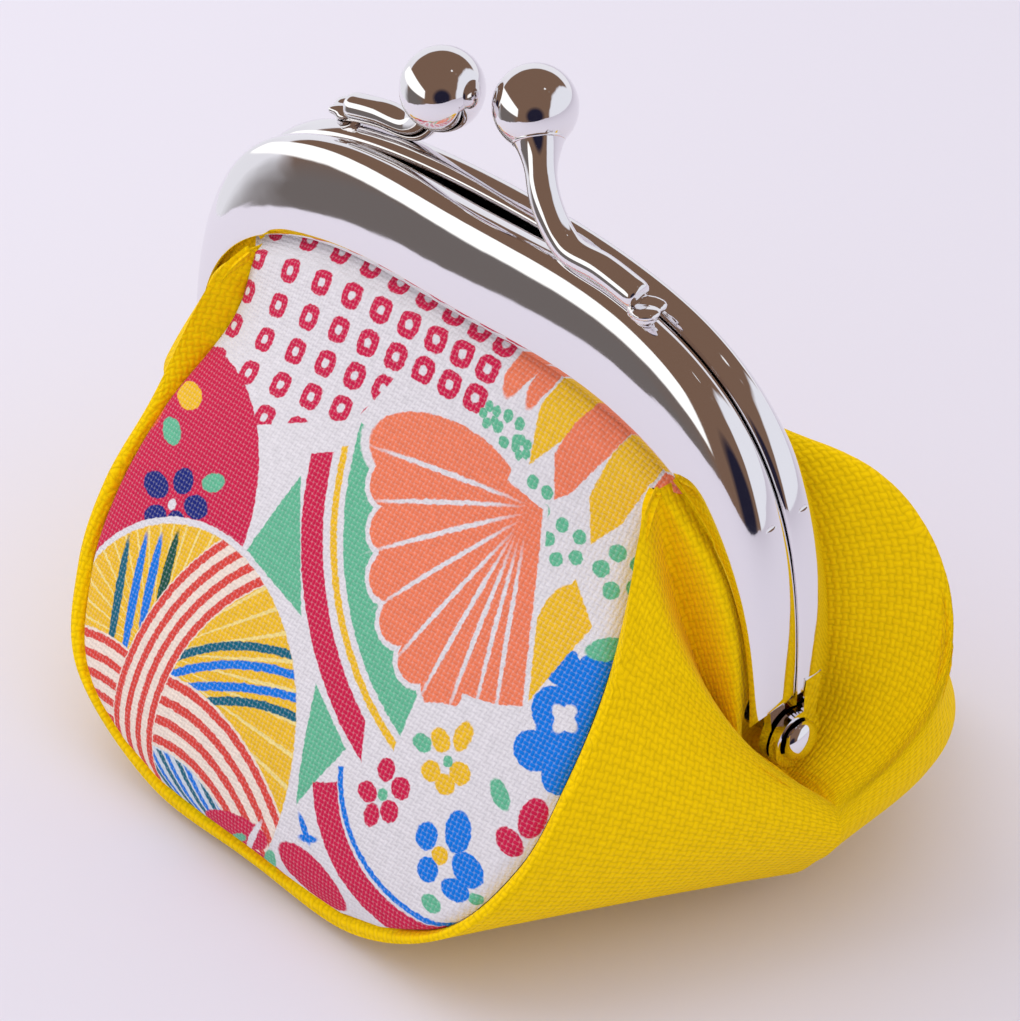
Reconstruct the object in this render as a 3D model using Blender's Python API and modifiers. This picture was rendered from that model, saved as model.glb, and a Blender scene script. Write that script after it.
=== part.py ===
"""Kiss-lock coin purse: a hinged clasp frame of bright metal over a gusseted cloth bag.

Metres, +Z up. The origin is on the floor under the middle of the bag. +X runs along the hinge
axis, -Y is the front. The two frame halves are one pressing, used twice: the back half is the
front half turned half way round +Z. Each cloth piece is lofted over guide curves, outer cloth
first, and the linings follow the outer cloth at a named distance.
"""

import math

import bmesh
import bpy
import numpy as np
from mathutils import Matrix

MM = 0.001

# Clasp frame
FRAME_WIDTH = 81.0 * MM
FRAME_RISE = 41.3 * MM
CREST_SQUARENESS = 3.2
RIM_SETBACK = 1.5 * MM
FACE_HEIGHT = 9.6 * MM
RIM_WIDTH = FRAME_WIDTH - 2 * RIM_SETBACK
RIM_RISE = FRAME_RISE - FACE_HEIGHT
RIM_SQUARENESS = 2.9
HINGE_HEIGHT = 21.5 * MM
CHANNEL_WIDTH = 5.0 * MM
CREST_LINE = 2.0 * MM
CREST_ROUND = 1.2 * MM
REAR_WALL_SHARE = 0.75
METAL = 0.6 * MM
HALF_PARTING = 0.15 * MM
MOUTH_BOW = 1.5 * MM
MOUTH_HALF_LENGTH = 22.0 * MM
LEG_END = 5.6 * MM
FRAME_STATIONS = 34
DOME_POINTS = 7

# Hinge
EAR_RADIUS = 3.0 * MM
EAR_THICKNESS = 0.9 * MM
EAR_NECK_WIDTH = 2.2 * MM
EAR_ROOT = 4.0 * MM
EAR_DISC_START = math.radians(143)
EAR_DISC_STOP = math.radians(360 + 102)
ROOT_LAP = 1.2 * MM
ROOT_INSET = 0.1 * MM
PIN_RADIUS = 1.2 * MM
PIN_HOLE_CLEARANCE = 0.3 * MM
RIVET_HEAD_RADIUS = 2.1 * MM
RIVET_HEAD_HEIGHT = 1.1 * MM
HINGE_CLEARANCE = 0.3 * MM
RIVET_SIDES = 16
EAR_SIDES = 26
HOLE_SIDES = 24

# Ball clasp
BALL_DIAMETER = 8.0 * MM
BALL_RISE = 52.0 * MM
BALL_SPACING = 8.3 * MM
BALL_CROSSING = 3.7 * MM
ROD_DIAMETER = 2.9 * MM
NECK_DIAMETER = 4.2 * MM
NECK_LENGTH = 4.0 * MM
ROD_END = 21.5 * MM
ROD_BEND = 12.5 * MM
# How the stalk bows between its bend and the ball, as a share of that distance.
STALK_BOW = np.array([0.06, -0.12, -0.10])
BALL_SIDES = 20
BALL_RINGS = 12
STALK_STEPS = 22

# Cloth bag
PANEL_HALF_WIDTH = 33.4 * MM
BAG_HALF_DEPTH = 34.0 * MM
CORNER_RISE = 25.5 * MM
LOBE = 9.5 * MM
CLOTH = 0.6 * MM
CANVAS = 0.8 * MM
LINING = 0.4 * MM
CLOTH_GAP = 0.3 * MM
SEAM_SETBACK = 1.4 * MM
PAPER_CORD = 1.2 * MM
RIM_CLEARANCE = 0.9 * MM
PANEL_TUCK_SHARE = 0.45
PANEL_TUCK_SLACK = 0.7 * MM
PANEL_RIM_SLACK = 0.1 * MM
PANEL_RIM_DIP = 0.4 * MM
PANEL_CROWN = 2.4
PAPER_CORD_SHARE = 0.52
SKIPPED_STATIONS = 6

# Where the gusset passes the foot of each leg: in front of it, under the hinge, and inside
FOOT_INSET = 1.6 * MM
FOOT_REACH = 0.6 * MM
UNDER_INSET = 1.2 * MM
UNDER_DROP = 1.6 * MM
EXIT_REACH = 3.2 * MM
EXIT_DROP = 0.6 * MM
HELD_REACH = 2.6 * MM
HELD_RISE = 1.4 * MM

# Guide curves of the bag, as shares of the sizes above
# The side seam of a panel: height over the floor, half width, reach to the front.
SEAM = [
    (1.00, 0.855, 0.185),
    (0.85, 0.892, 0.288),
    (0.684, 0.973, 0.482),
    (0.52, 1.000, 0.665),
    (0.357, 0.970, 0.815),
    (0.194, 0.817, 0.962),
    (0.045, 0.450, 1.000),
]
# The middle of a panel: height, reach.
PANEL_MIDDLE = [
    (1.09, 0.207),
    (0.878, 0.400),
    (0.694, 0.597),
    (0.51, 0.774),
    (0.327, 0.924),
    (0.153, 1.010),
    (0.035, 1.005),
]
# The middle of the gusset, from the floor to under the hinge: share of half the frame's width,
# share of the hinge height, then how far along the side seam that row ends, and how much of
# the lobe it carries at the back.
GUSSET_ROWS = [
    (0.00, 0.00, None, 0.00),
    (0.54, 0.00, 0.045, 0.00),
    (0.94, 0.14, 0.194, 0.55),
    (1.086, 0.395, 0.357, 0.77),
    (1.143, 0.58, 0.52, 0.95),
    (1.136, 0.70, 0.684, 1.00),
]
# The ridge of the side fold and the wall behind it, from the panel's corner to the hinge and
# up to the back corner: beyond the frame's side, reach, height over the hinge axis, in lobes.
RIDGE_FRONT = [
    (-1.13, -1.05, 2.15),
    (-0.65, -0.95, 1.50),
    (-0.22, -0.85, 0.85),
    (0.14, -0.55, 0.15),
    (0.47, 0.0, -0.53),
]
RIDGE_BACK = [
    (0.47, 0.0, -0.53),
    (0.74, 0.80, 0.0),
    (0.82, 1.42, 0.95),
    (0.47, 1.52, 2.00),
    (-0.26, 1.36, 2.62),
    (-1.10, 1.05, 2.50),
]
WALL_FRONT = [
    (-1.16, -0.74, 2.65),
    (-0.42, -0.74, 1.70),
    (-0.12, -0.72, 0.85),
    (0.0, -0.60, 0.0),
    (0.10, 0.0, -0.47),
]
WALL_BACK = [
    (0.10, 0.0, -0.47),
    (0.27, 0.62, 0.0),
    (0.32, 1.0, 0.95),
    (0.05, 1.05, 2.0),
    (-0.53, 0.90, 2.65),
    (-1.15, 0.76, 2.80),
]

# The gusset's hold on a leg, as shares of the panel corner's rise over the hinge.
LEG_SHARES = [1.0, 0.8, 0.6, 0.4, 0.24]
# The bow of a gusset row in front, and its lean at the back, in lobes.
FRONT_BOW = np.array([0.06, -0.12, 0.10])
BACK_LEAN = (1.0, 0.30, 0.22)

FRONT_COLUMNS = 8
BACK_COLUMNS = 9
PANEL_COLUMNS = 14
LINED_ROWS = 12
GUSSET_STEPS = [3, 3, 2, 2, 2, 2, 2, 1, 1, 1]
PANEL_SHARES = np.concatenate([np.linspace(1.0, 0.2, 10), [0.12, SEAM[-1][0]]])

BACK_TURN = Matrix.Rotation(math.pi, 4, "Z")
MIRROR_X = np.array([-1, 1, 1])


def clear_scene():
    for thing in list(bpy.data.objects):
        bpy.data.objects.remove(thing, do_unlink=True)


def collection(name):
    made = bpy.data.collections.new(name)
    bpy.context.scene.collection.children.link(made)
    return made


def material(name, colour, roughness, metallic=0.0):
    made = bpy.data.materials.new(name)
    made.use_nodes = True
    shader = made.node_tree.nodes["Principled BSDF"]
    shader.inputs["Base Color"].default_value = (*colour, 1.0)
    shader.inputs["Roughness"].default_value = roughness
    shader.inputs["Metallic"].default_value = metallic
    return made


def add_object(name, mesh, where, look=None):
    made = bpy.data.objects.new(name, mesh)
    where.objects.link(made)
    if look:
        mesh.materials.append(look)
    return made


def evaluated_mesh(thing):
    """The object's mesh with its modifiers or its bevel, in its own coordinates."""
    graph = bpy.context.evaluated_depsgraph_get()
    mesh = bpy.data.meshes.new_from_object(thing.evaluated_get(graph))
    shape = bmesh.new()
    shape.from_mesh(mesh)
    bmesh.ops.remove_doubles(shape, verts=shape.verts, dist=0.00001)
    shape.to_mesh(mesh)
    shape.free()
    return mesh


def smooth_shade(mesh):
    mesh.shade_smooth()
    mesh.set_sharp_from_angle(angle=math.radians(40))


def boolean(thing, tool, operation):
    modifier = thing.modifiers.new(operation.title(), "BOOLEAN")
    modifier.operation = operation
    modifier.object = tool
    modifier.solver = "EXACT"


def hide_tool(thing):
    thing.hide_render = True
    thing.display_type = "WIRE"


# Curves and lofts


def catmull_rom(points, counts):
    """Points on a smooth curve through the given ones, with counts[i] steps on stretch i."""
    points = np.asarray(points, float)
    first = 2 * points[0] - points[1]
    last = 2 * points[-1] - points[-2]
    padded = np.vstack([first, points, last])
    made = []
    for i, steps in enumerate(counts):
        a, b, c, d = padded[i : i + 4]
        for t in np.arange(steps) / steps:
            bend = 2 * a - 5 * b + 4 * c - d
            twist = 3 * b - a - 3 * c + d
            made.append(0.5 * (2 * b + (c - a) * t + bend * t**2 + twist * t**3))
    made.append(points[-1])
    return np.array(made)


def even_curve(points, count):
    """count + 1 points at even distances along a smooth curve through the given ones."""
    if len(points) == 2:
        shares = np.linspace(0, 1, count + 1)[:, None]
        return np.asarray(points[0]) * (1 - shares) + np.asarray(points[1]) * shares
    fine = catmull_rom(points, [24] * (len(points) - 1))
    lengths = np.concatenate([[0], np.cumsum(np.linalg.norm(np.diff(fine, axis=0), axis=1))])
    wanted = np.linspace(0, lengths[-1], count + 1)
    return np.stack([np.interp(wanted, lengths, fine[:, k]) for k in range(3)], axis=1)


def loft_rows(rows, steps):
    """A finer grid through guide rows with the same number of points each, steps[i] on stretch i."""
    rows = np.asarray(rows, float)
    columns = [catmull_rom(rows[:, j], steps) for j in range(rows.shape[1])]
    return np.stack(columns, axis=1)


def grid_normals(grid):
    along = np.gradient(grid, axis=0)
    across = np.gradient(grid, axis=1)
    normals = np.cross(along, across)
    return normals / np.linalg.norm(normals, axis=2, keepdims=True)


def grid_mesh(name, grid):
    """An open sheet over a grid of points, as quads."""
    shape = bmesh.new()
    rows, columns = grid.shape[:2]
    verts = [[shape.verts.new(p) for p in row] for row in grid]
    for i in range(rows - 1):
        for j in range(columns - 1):
            shape.faces.new((verts[i][j], verts[i + 1][j], verts[i + 1][j + 1], verts[i][j + 1]))
    mesh = bpy.data.meshes.new(name)
    shape.to_mesh(mesh)
    shape.free()
    return mesh


def loft_solid(name, rings):
    """A closed solid through rings of points, capped at both ends."""
    shape = bmesh.new()
    verts = [[shape.verts.new(p) for p in ring] for ring in rings]
    count = len(verts[0])
    for low, high in zip(verts, verts[1:]):
        for j in range(count):
            k = (j + 1) % count
            shape.faces.new((low[j], low[k], high[k], high[j]))
    shape.faces.new(reversed(verts[0]))
    shape.faces.new(verts[-1])
    bmesh.ops.triangulate(shape, faces=[f for f in shape.faces if len(f.verts) > 4])
    bmesh.ops.recalc_face_normals(shape, faces=shape.faces)
    mesh = bpy.data.meshes.new(name)
    shape.to_mesh(mesh)
    shape.free()
    return mesh


def sheet_object(name, grid, thickness, where, look):
    """A cloth piece: the grid is its outer face, and its thickness goes inwards."""
    mesh = grid_mesh(name, grid)
    made = add_object(name, mesh, where, look)
    shell = made.modifiers.new("Thickness", "SOLIDIFY")
    shell.thickness = thickness
    shell.offset = -1.0
    smooth_shade(mesh)
    return made


# The frame's outline


def arch_height(x, width, rise, squareness):
    share = min(abs(x) / (width / 2), 1.0)
    return rise * (1 - share**squareness) ** (1 / squareness)


def arch_side(z, width, rise, squareness):
    share = min(max(z, 0.0) / rise, 1.0)
    return width / 2 * (1 - share**squareness) ** (1 / squareness)


def crest_height(x):
    return arch_height(x, FRAME_WIDTH, FRAME_RISE, CREST_SQUARENESS)


def rim_height(x):
    return arch_height(x, RIM_WIDTH, RIM_RISE, RIM_SQUARENESS)


def arch_point(angle, width, rise, squareness):
    c = math.cos(angle)
    s = math.sin(angle)
    x = width / 2 * math.copysign(abs(c) ** (2 / squareness), c)
    z = rise * abs(s) ** (2 / squareness)
    return np.array([x, z])


def mouth_bow(x):
    """How far a half curves away from the meeting plane, along the top."""
    share = min(abs(x) / MOUTH_HALF_LENGTH, 1.0)
    return MOUTH_BOW * math.cos(share * math.pi / 2) ** 2


def frame_angles():
    """Angles at even distances along the crest, between the two ends of the legs."""
    start = math.asin((LEG_END / FRAME_RISE) ** (CREST_SQUARENESS / 2))
    fine = np.linspace(start, math.pi - start, 800)
    points = np.array([arch_point(a, FRAME_WIDTH, FRAME_RISE, CREST_SQUARENESS) for a in fine])
    lengths = np.concatenate([[0], np.cumsum(np.linalg.norm(np.diff(points, axis=0), axis=1))])
    return np.interp(np.linspace(0, lengths[-1], FRAME_STATIONS), lengths, fine)


def channel_profile(face):
    """The channel's section as (from the meeting face, from the crest), for a face this high."""
    top_round = min(CREST_ROUND, 0.45 * face)
    front_reach = CHANNEL_WIDTH - CREST_LINE
    outer = [(0.0, REAR_WALL_SHARE * face)]
    for angle in np.linspace(0, math.pi / 2, 4)[:-1]:
        outer.append((CREST_LINE * (1 - math.cos(angle)), top_round * (1 - math.sin(angle))))
    for angle in np.linspace(0, math.pi / 2, DOME_POINTS):
        outer.append((CREST_LINE + front_reach * math.sin(angle), face * (1 - math.cos(angle))))
    outer = np.array(outer)
    along = np.gradient(outer, axis=0)
    along[0] = (0.0, -1.0)
    along[-1] = (0.0, 1.0)
    along /= np.linalg.norm(along, axis=1, keepdims=True)
    inner = outer + METAL * np.stack([-along[:, 1], along[:, 0]], axis=1)
    return np.vstack([outer, inner[::-1]])


def frame_ring(angle):
    crest = arch_point(angle, FRAME_WIDTH, FRAME_RISE, CREST_SQUARENESS)
    rim = arch_point(angle, RIM_WIDTH, RIM_RISE, RIM_SQUARENESS)
    face = np.linalg.norm(rim - crest)
    inward = (rim - crest) / face
    back = -HALF_PARTING - mouth_bow(crest[0])
    ring = []
    for width, depth in channel_profile(face):
        x, z = crest + inward * depth
        ring.append((x, back - width, z + HINGE_HEIGHT))
    return ring


def ear_ranges():
    """The inner and the outer ear as ranges of X on the right. The outer one is flush with the leg."""
    outer = (FRAME_WIDTH / 2 - EAR_THICKNESS, FRAME_WIDTH / 2)
    inner = (outer[0] - HINGE_CLEARANCE - EAR_THICKNESS, outer[0] - HINGE_CLEARANCE)
    return inner, outer


def neck_outline():
    """The neck's corners above the ear's disc, as (front to back, height over the hinge axis)."""
    back = -HALF_PARTING - METAL
    front = back - EAR_NECK_WIDTH
    top = LEG_END + EAR_ROOT
    return [(back, top), (front, top)]


def ear_outline():
    angles = np.linspace(EAR_DISC_START, EAR_DISC_STOP, EAR_SIDES)
    disc = [(EAR_RADIUS * math.cos(a), EAR_RADIUS * math.sin(a)) for a in angles]
    return neck_outline() + disc


def root_outline():
    """The thick root that joins the inner ear to the wall of the leg."""
    (back, top), (front, _) = neck_outline()
    low = LEG_END - ROOT_LAP
    return [(back, top), (front, top), (front, low), (back, low)]


def plate_mesh(name, outline, low, high):
    """A flat plate across X, over an outline in the hinge's own plane."""
    shape = bmesh.new()
    verts = [shape.verts.new((low, y, z + HINGE_HEIGHT)) for y, z in outline]
    face = shape.faces.new(verts)
    pulled = bmesh.ops.extrude_face_region(shape, geom=[face])
    moved = [v for v in pulled["geom"] if isinstance(v, bmesh.types.BMVert)]
    bmesh.ops.translate(shape, verts=moved, vec=(high - low, 0, 0))
    bmesh.ops.recalc_face_normals(shape, faces=shape.faces)
    mesh = bpy.data.meshes.new(name)
    shape.to_mesh(mesh)
    shape.free()
    return mesh


def cylinder_mesh(name, radius, low, high):
    """A cylinder along X on the hinge axis."""
    shape = bmesh.new()
    turn = Matrix.Rotation(math.pi / 2, 4, "Y")
    place = Matrix.Translation(((low + high) / 2, 0, HINGE_HEIGHT))
    bmesh.ops.create_cone(
        shape,
        cap_ends=True,
        segments=HOLE_SIDES,
        radius1=radius,
        radius2=radius,
        depth=high - low,
        matrix=place @ turn,
    )
    mesh = bpy.data.meshes.new(name)
    shape.to_mesh(mesh)
    shape.free()
    return mesh


def build_frame_pressing(tools):
    """The channel with its two ears and pin holes: right ear inside, left ear outside."""
    rings = [frame_ring(a) for a in frame_angles()]
    channel = add_object("channel_blank", loft_solid("channel_blank", rings), tools)
    inner, outer = ear_ranges()
    spans = {"right": inner, "left": (-outer[1], -outer[0])}
    for side, (low, high) in spans.items():
        ear = add_object(f"{side}_ear", plate_mesh(f"{side}_ear", ear_outline(), low, high), tools)
        hole = cylinder_mesh(f"{side}_hole", PIN_RADIUS + PIN_HOLE_CLEARANCE, low - MM, high + MM)
        drill = add_object(f"{side}_drill", hole, tools)
        boolean(ear, drill, "DIFFERENCE")
        boolean(channel, ear, "UNION")
        hide_tool(ear)
        hide_tool(drill)
    root_mesh = plate_mesh("inner_root", root_outline(), inner[0] + ROOT_INSET, outer[1] - METAL / 2)
    root = add_object("inner_root", root_mesh, tools)
    boolean(channel, root, "UNION")
    hide_tool(root)
    mesh = evaluated_mesh(channel)
    bpy.data.objects.remove(channel)
    smooth_shade(mesh)
    return mesh


def build_frames(where, tools, look):
    mesh = build_frame_pressing(tools)
    add_object("front_frame", mesh, where, look)
    back = add_object("back_frame", mesh, where)
    back.matrix_world = BACK_TURN


def build_rivets(where, look):
    inner, outer = ear_ranges()
    low = inner[0] - HINGE_CLEARANCE
    high = outer[1] + HINGE_CLEARANCE
    profile = []
    for angle in np.linspace(0, math.pi / 2, 6):
        profile.append((RIVET_HEAD_RADIUS * math.sin(angle), high + RIVET_HEAD_HEIGHT * math.cos(angle)))
    profile.append((PIN_RADIUS, high))
    profile.append((PIN_RADIUS, low))
    for angle in np.linspace(math.pi / 2, 0, 6):
        profile.append((RIVET_HEAD_RADIUS * math.sin(angle), low - RIVET_HEAD_HEIGHT * math.cos(angle)))
    shape = bmesh.new()
    verts = [shape.verts.new((radius, 0, along)) for radius, along in profile]
    for a, b in zip(verts, verts[1:]):
        shape.edges.new((a, b))
    mesh = bpy.data.meshes.new("rivet")
    shape.to_mesh(mesh)
    shape.free()
    for name, turn in (("right_hinge_rivet", math.pi / 2), ("left_hinge_rivet", -math.pi / 2)):
        rivet = add_object(name, mesh, where, look if not mesh.materials else None)
        rivet.location = (0, 0, HINGE_HEIGHT)
        rivet.rotation_euler = (0, turn, 0)
        spin = rivet.modifiers.new("Turned", "SCREW")
        spin.steps = RIVET_SIDES
        spin.render_steps = RIVET_SIDES
        spin.use_merge_vertices = True
        spin.merge_threshold = 0.00005


# Ball clasp


def rod_point(x):
    """The axis of the rod where it lies along the front half's crest."""
    y = -HALF_PARTING - mouth_bow(x) - CREST_LINE
    z = crest_height(x) + CLOTH_GAP + ROD_DIAMETER / 2 + HINGE_HEIGHT
    return np.array([x, y, z])


def ball_centre():
    return np.array([BALL_SPACING / 2, BALL_CROSSING / 2, BALL_RISE + HINGE_HEIGHT])


def stalk_route():
    centre = ball_centre()
    bend = rod_point(ROD_BEND)
    root = bend + 0.5 * (centre - bend) + STALK_BOW * np.linalg.norm(centre - bend)
    away = root - centre
    away /= np.linalg.norm(away)
    tip = centre + away * (BALL_DIAMETER / 2 + CLOTH_GAP)
    return [rod_point(ROD_END), rod_point((ROD_END + ROD_BEND) / 2), bend, root, tip]


def build_stalk(name, where, look):
    route = even_curve(stalk_route(), STALK_STEPS)
    curve = bpy.data.curves.new(name, "CURVE")
    curve.dimensions = "3D"
    curve.bevel_depth = ROD_DIAMETER / 2
    curve.bevel_resolution = 2
    curve.use_fill_caps = True
    spline = curve.splines.new("POLY")
    spline.points.add(len(route) - 1)
    for point, place in zip(spline.points, route):
        to_tip = np.linalg.norm(place - route[-1])
        flare = max(0.0, 1 - to_tip / NECK_LENGTH)
        point.co = (*place, 1.0)
        point.radius = 1 + (NECK_DIAMETER / ROD_DIAMETER - 1) * flare
    curve.materials.append(look)
    made = bpy.data.objects.new(name, curve)
    where.objects.link(made)
    return made


def build_clasp(where, look):
    for half, turn in (("front", Matrix.Identity(4)), ("back", BACK_TURN)):
        stalk = build_stalk(f"{half}_clasp_stalk", where, look)
        stalk.matrix_world = turn
        shape = bmesh.new()
        radius = BALL_DIAMETER / 2
        bmesh.ops.create_uvsphere(shape, u_segments=BALL_SIDES, v_segments=BALL_RINGS, radius=radius)
        mesh = bpy.data.meshes.new(f"{half}_clasp_ball")
        shape.to_mesh(mesh)
        shape.free()
        smooth_shade(mesh)
        ball = add_object(f"{half}_clasp_ball", mesh, where, look)
        ball.matrix_world = turn @ Matrix.Translation(ball_centre())


def channel_place(angle, from_crest, from_face):
    """A point in the front channel, by its share of the face below the crest and its depth."""
    crest = arch_point(angle, FRAME_WIDTH, FRAME_RISE, CREST_SQUARENESS)
    rim = arch_point(angle, RIM_WIDTH, RIM_RISE, RIM_SQUARENESS)
    x, z = crest + (rim - crest) * from_crest
    return np.array([x, -HALF_PARTING - mouth_bow(crest[0]) - from_face, z + HINGE_HEIGHT])


def build_paper_cords(where, look):
    """The paper cord that wedges the cloth in each channel, against the rear wall."""
    depth = METAL + HALF_PARTING + PAPER_CORD / 2
    angles = frame_angles()
    route = [channel_place(a, PAPER_CORD_SHARE, depth) for a in angles[SKIPPED_STATIONS:-SKIPPED_STATIONS]]
    for half, turn in (("front", Matrix.Identity(4)), ("back", BACK_TURN)):
        name = f"{half}_paper_cord"
        curve = bpy.data.curves.new(name, "CURVE")
        curve.dimensions = "3D"
        curve.bevel_depth = PAPER_CORD / 2
        curve.bevel_resolution = 1
        curve.use_fill_caps = True
        spline = curve.splines.new("POLY")
        spline.points.add(len(route) - 1)
        for point, place in zip(spline.points, route):
            point.co = (*place, 1.0)
        curve.materials.append(look)
        made = bpy.data.objects.new(name, curve)
        where.objects.link(made)
        made.matrix_world = turn


# Cloth


def corner_height():
    return HINGE_HEIGHT + CORNER_RISE


def share_curve(stations, share):
    """A smooth value along stations whose first entry is the share."""
    table = np.array(stations)[::-1]
    fine = catmull_rom(table, [12] * (len(table) - 1))
    return np.array([np.interp(share, fine[:, 0], fine[:, k]) for k in range(1, fine.shape[1])])


def seam_point(share):
    half, reach = share_curve(SEAM, share)
    return np.array([half * PANEL_HALF_WIDTH, -reach * BAG_HALF_DEPTH, share * corner_height()])


def middle_point(share):
    (reach,) = share_curve(PANEL_MIDDLE, share)
    return np.array([0.0, -reach * BAG_HALF_DEPTH, share * corner_height()])


def leg_point(rise, inset, depth):
    """A point beside the front leg's rim at this height: inset from the rim, depth from the face."""
    x = arch_side(rise, RIM_WIDTH, RIM_RISE, RIM_SQUARENESS)
    step = 0.2 * MM
    ahead = arch_side(rise + step, RIM_WIDTH, RIM_RISE, RIM_SQUARENESS)
    run = np.array([ahead - x, step])
    run /= np.linalg.norm(run)
    inward = np.array([-run[1], run[0]])
    place = np.array([x, rise]) + inward * inset
    return np.array([place[0], -HALF_PARTING - depth, place[1] + HINGE_HEIGHT])


def cloth_depth():
    """How far from the meeting face the outer cloth's face lies in the channel."""
    return CHANNEL_WIDTH - METAL - 1.6 * CLOTH_GAP


def side_place(values):
    """A point of the side fold: beyond the frame's side, reach and rise, in lobes."""
    bulge, reach, rise = values
    return np.array([FRAME_WIDTH / 2 + bulge * LOBE, reach * LOBE, HINGE_HEIGHT + rise * LOBE])


def other_side(points):
    return [np.array([x, -y, z]) for x, y, z in reversed(list(points))]


def leg_row(inset, foot_inset, depth, under):
    """A gusset row along both legs and round the hinge, through the given points under it.

    Its distance inside the rim grows from inset at the panel's corner to foot_inset at the foot.
    """
    insets = np.interp(LEG_SHARES, LEG_SHARES[:-4:-1], [foot_inset, (inset + foot_inset) / 2, inset])
    front = [leg_point(share * CORNER_RISE, add, depth) for share, add in zip(LEG_SHARES, insets)]
    front += under
    return front, other_side(front)


def gusset_guides():
    """The right half of the gusset as rows, each a front curve and a back curve."""
    rows = []
    for side, rise, share, lobe in GUSSET_ROWS:
        middle = np.array([side * FRAME_WIDTH / 2, 0.0, rise * HINGE_HEIGHT])
        if share is None:
            seam = seam_point(SEAM[-1][0]) * np.array([0, 1, 0.8])
        else:
            seam = seam_point(share)
        between = 0.5 * (seam + middle)
        bow = FRONT_BOW * LOBE if lobe else np.zeros(3)
        if not lobe:
            between[2] = 0.0
        front = [seam, between + bow, middle]
        back_seam = seam * np.array([1, -1, 1])
        out, aft, up = BACK_LEAN
        lean = np.array([out, aft * lobe, up * lobe])
        back_between = between * np.array([1, -1, 1]) + lobe * LOBE * lean
        rows.append((front, [middle, back_between, back_seam]))
    ridge = [side_place(v) for v in RIDGE_FRONT]
    rows.append((ridge, [side_place(v) for v in RIDGE_BACK]))
    wall = [side_place(v) for v in WALL_FRONT]
    rows.append((wall, [side_place(v) for v in WALL_BACK]))
    inside = ear_ranges()[0][0] - HINGE_CLEARANCE - RIVET_HEAD_HEIGHT - 3 * CLOTH_GAP
    below = HINGE_HEIGHT - EAR_RADIUS
    around = [
        np.array([FRAME_WIDTH / 2 - FOOT_INSET, -CHANNEL_WIDTH - FOOT_REACH, HINGE_HEIGHT]),
        np.array([FRAME_WIDTH / 2 - UNDER_INSET, 0.0, below - UNDER_DROP]),
    ]
    rows.append(leg_row(RIM_CLEARANCE, RIM_CLEARANCE, CHANNEL_WIDTH + RIM_CLEARANCE, around))
    tuck = cloth_depth()
    exits = [
        np.array([inside, -EXIT_REACH, HINGE_HEIGHT - EXIT_DROP]),
        np.array([inside, 0.0, below - EXIT_DROP]),
    ]
    rows.append(leg_row(RIM_CLEARANCE, 1.4 * RIM_CLEARANCE, tuck, exits))
    held = [
        np.array([inside, -HELD_REACH, HINGE_HEIGHT + HELD_RISE]),
        np.array([inside, 0.0, below + HELD_RISE]),
    ]
    rows.append(leg_row(-RIM_CLEARANCE, 1.2 * RIM_CLEARANCE, tuck - 0.2 * MM, held))
    return rows


def fold_rows(guides):
    rows = []
    for front, back in guides:
        ahead = even_curve(front, FRONT_COLUMNS)
        behind = even_curve(back, BACK_COLUMNS)
        rows.append(np.vstack([ahead, behind[1:]]))
    return rows


def whole_strip(right):
    """The strip from the right hinge round the bottom to the left hinge."""
    grid = np.concatenate([right[::-1], right[1:] * MIRROR_X])
    grid[:, :, 2] = np.maximum(grid[:, :, 2], 0.0)
    return grid


def gusset_grid():
    rows = fold_rows(gusset_guides())
    return whole_strip(loft_rows(rows, GUSSET_STEPS))


def gusset_lining_grid(outer):
    """The lining is glued to the gusset's inside, from hinge to hinge, up to under the side folds."""
    lined = outer - grid_normals(outer) * (CANVAS + CLOTH_GAP)
    middle = len(outer) // 2
    right = lined[middle : middle + LINED_ROWS] * MIRROR_X
    grid = np.concatenate([right[::-1], right[1:] * MIRROR_X])
    return grid[:, 1:-1]


def panel_rows(setback):
    """A front panel: rows from inside the channel down to the bottom seam."""
    across = np.linspace(-1, 1, PANEL_COLUMNS + 1)
    corner = seam_point(1.0)[0] - setback
    rows = []
    held = ((PANEL_TUCK_SHARE, PANEL_TUCK_SLACK, 0.0), (0.0, PANEL_RIM_SLACK, PANEL_RIM_DIP))
    for depth, slack, dip in held:
        face = cloth_depth() - slack
        row = []
        for u in across:
            x = u * corner
            rim = rim_height(x)
            z = rim + depth * (crest_height(x) - rim) - dip
            row.append((x, -HALF_PARTING - mouth_bow(x) - face, z + HINGE_HEIGHT))
        rows.append(row)
    for k, share in enumerate(PANEL_SHARES):
        seam = seam_point(share)
        edge = seam[0] - setback
        middle = middle_point(np.interp(share, [SEAM[-1][0], 1.0], [PANEL_MIDDLE[-1][0], PANEL_MIDDLE[0][0]]))
        lift = setback if k == len(PANEL_SHARES) - 1 else 0.0
        row = []
        for u in across:
            crown = 1 - abs(u) ** PANEL_CROWN
            y = seam[1] + (middle[1] - seam[1]) * crown
            z = seam[2] + (middle[2] - seam[2]) * crown + lift
            row.append((u * edge, y, z))
        rows.append(row)
    return np.array(rows)


def build_cloth(where, print_look, canvas_look, lining_look):
    gusset = gusset_grid()
    sheet_object("gusset", gusset, CANVAS, where, canvas_look)
    sheet_object("gusset_lining", gusset_lining_grid(gusset), LINING, where, lining_look)
    outer = panel_rows(SEAM_SETBACK)
    lined = panel_rows(SEAM_SETBACK + CANVAS + LINING + CLOTH_GAP)
    normals = grid_normals(lined)
    lined = (lined - normals * (CLOTH + CLOTH_GAP))[:-1]
    for half, turn in (("front", Matrix.Identity(4)), ("back", BACK_TURN)):
        panel = sheet_object(f"{half}_panel", outer, CLOTH, where, print_look)
        panel.matrix_world = turn
        lining = sheet_object(f"{half}_lining", lined, LINING, where, lining_look)
        lining.matrix_world = turn


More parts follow.
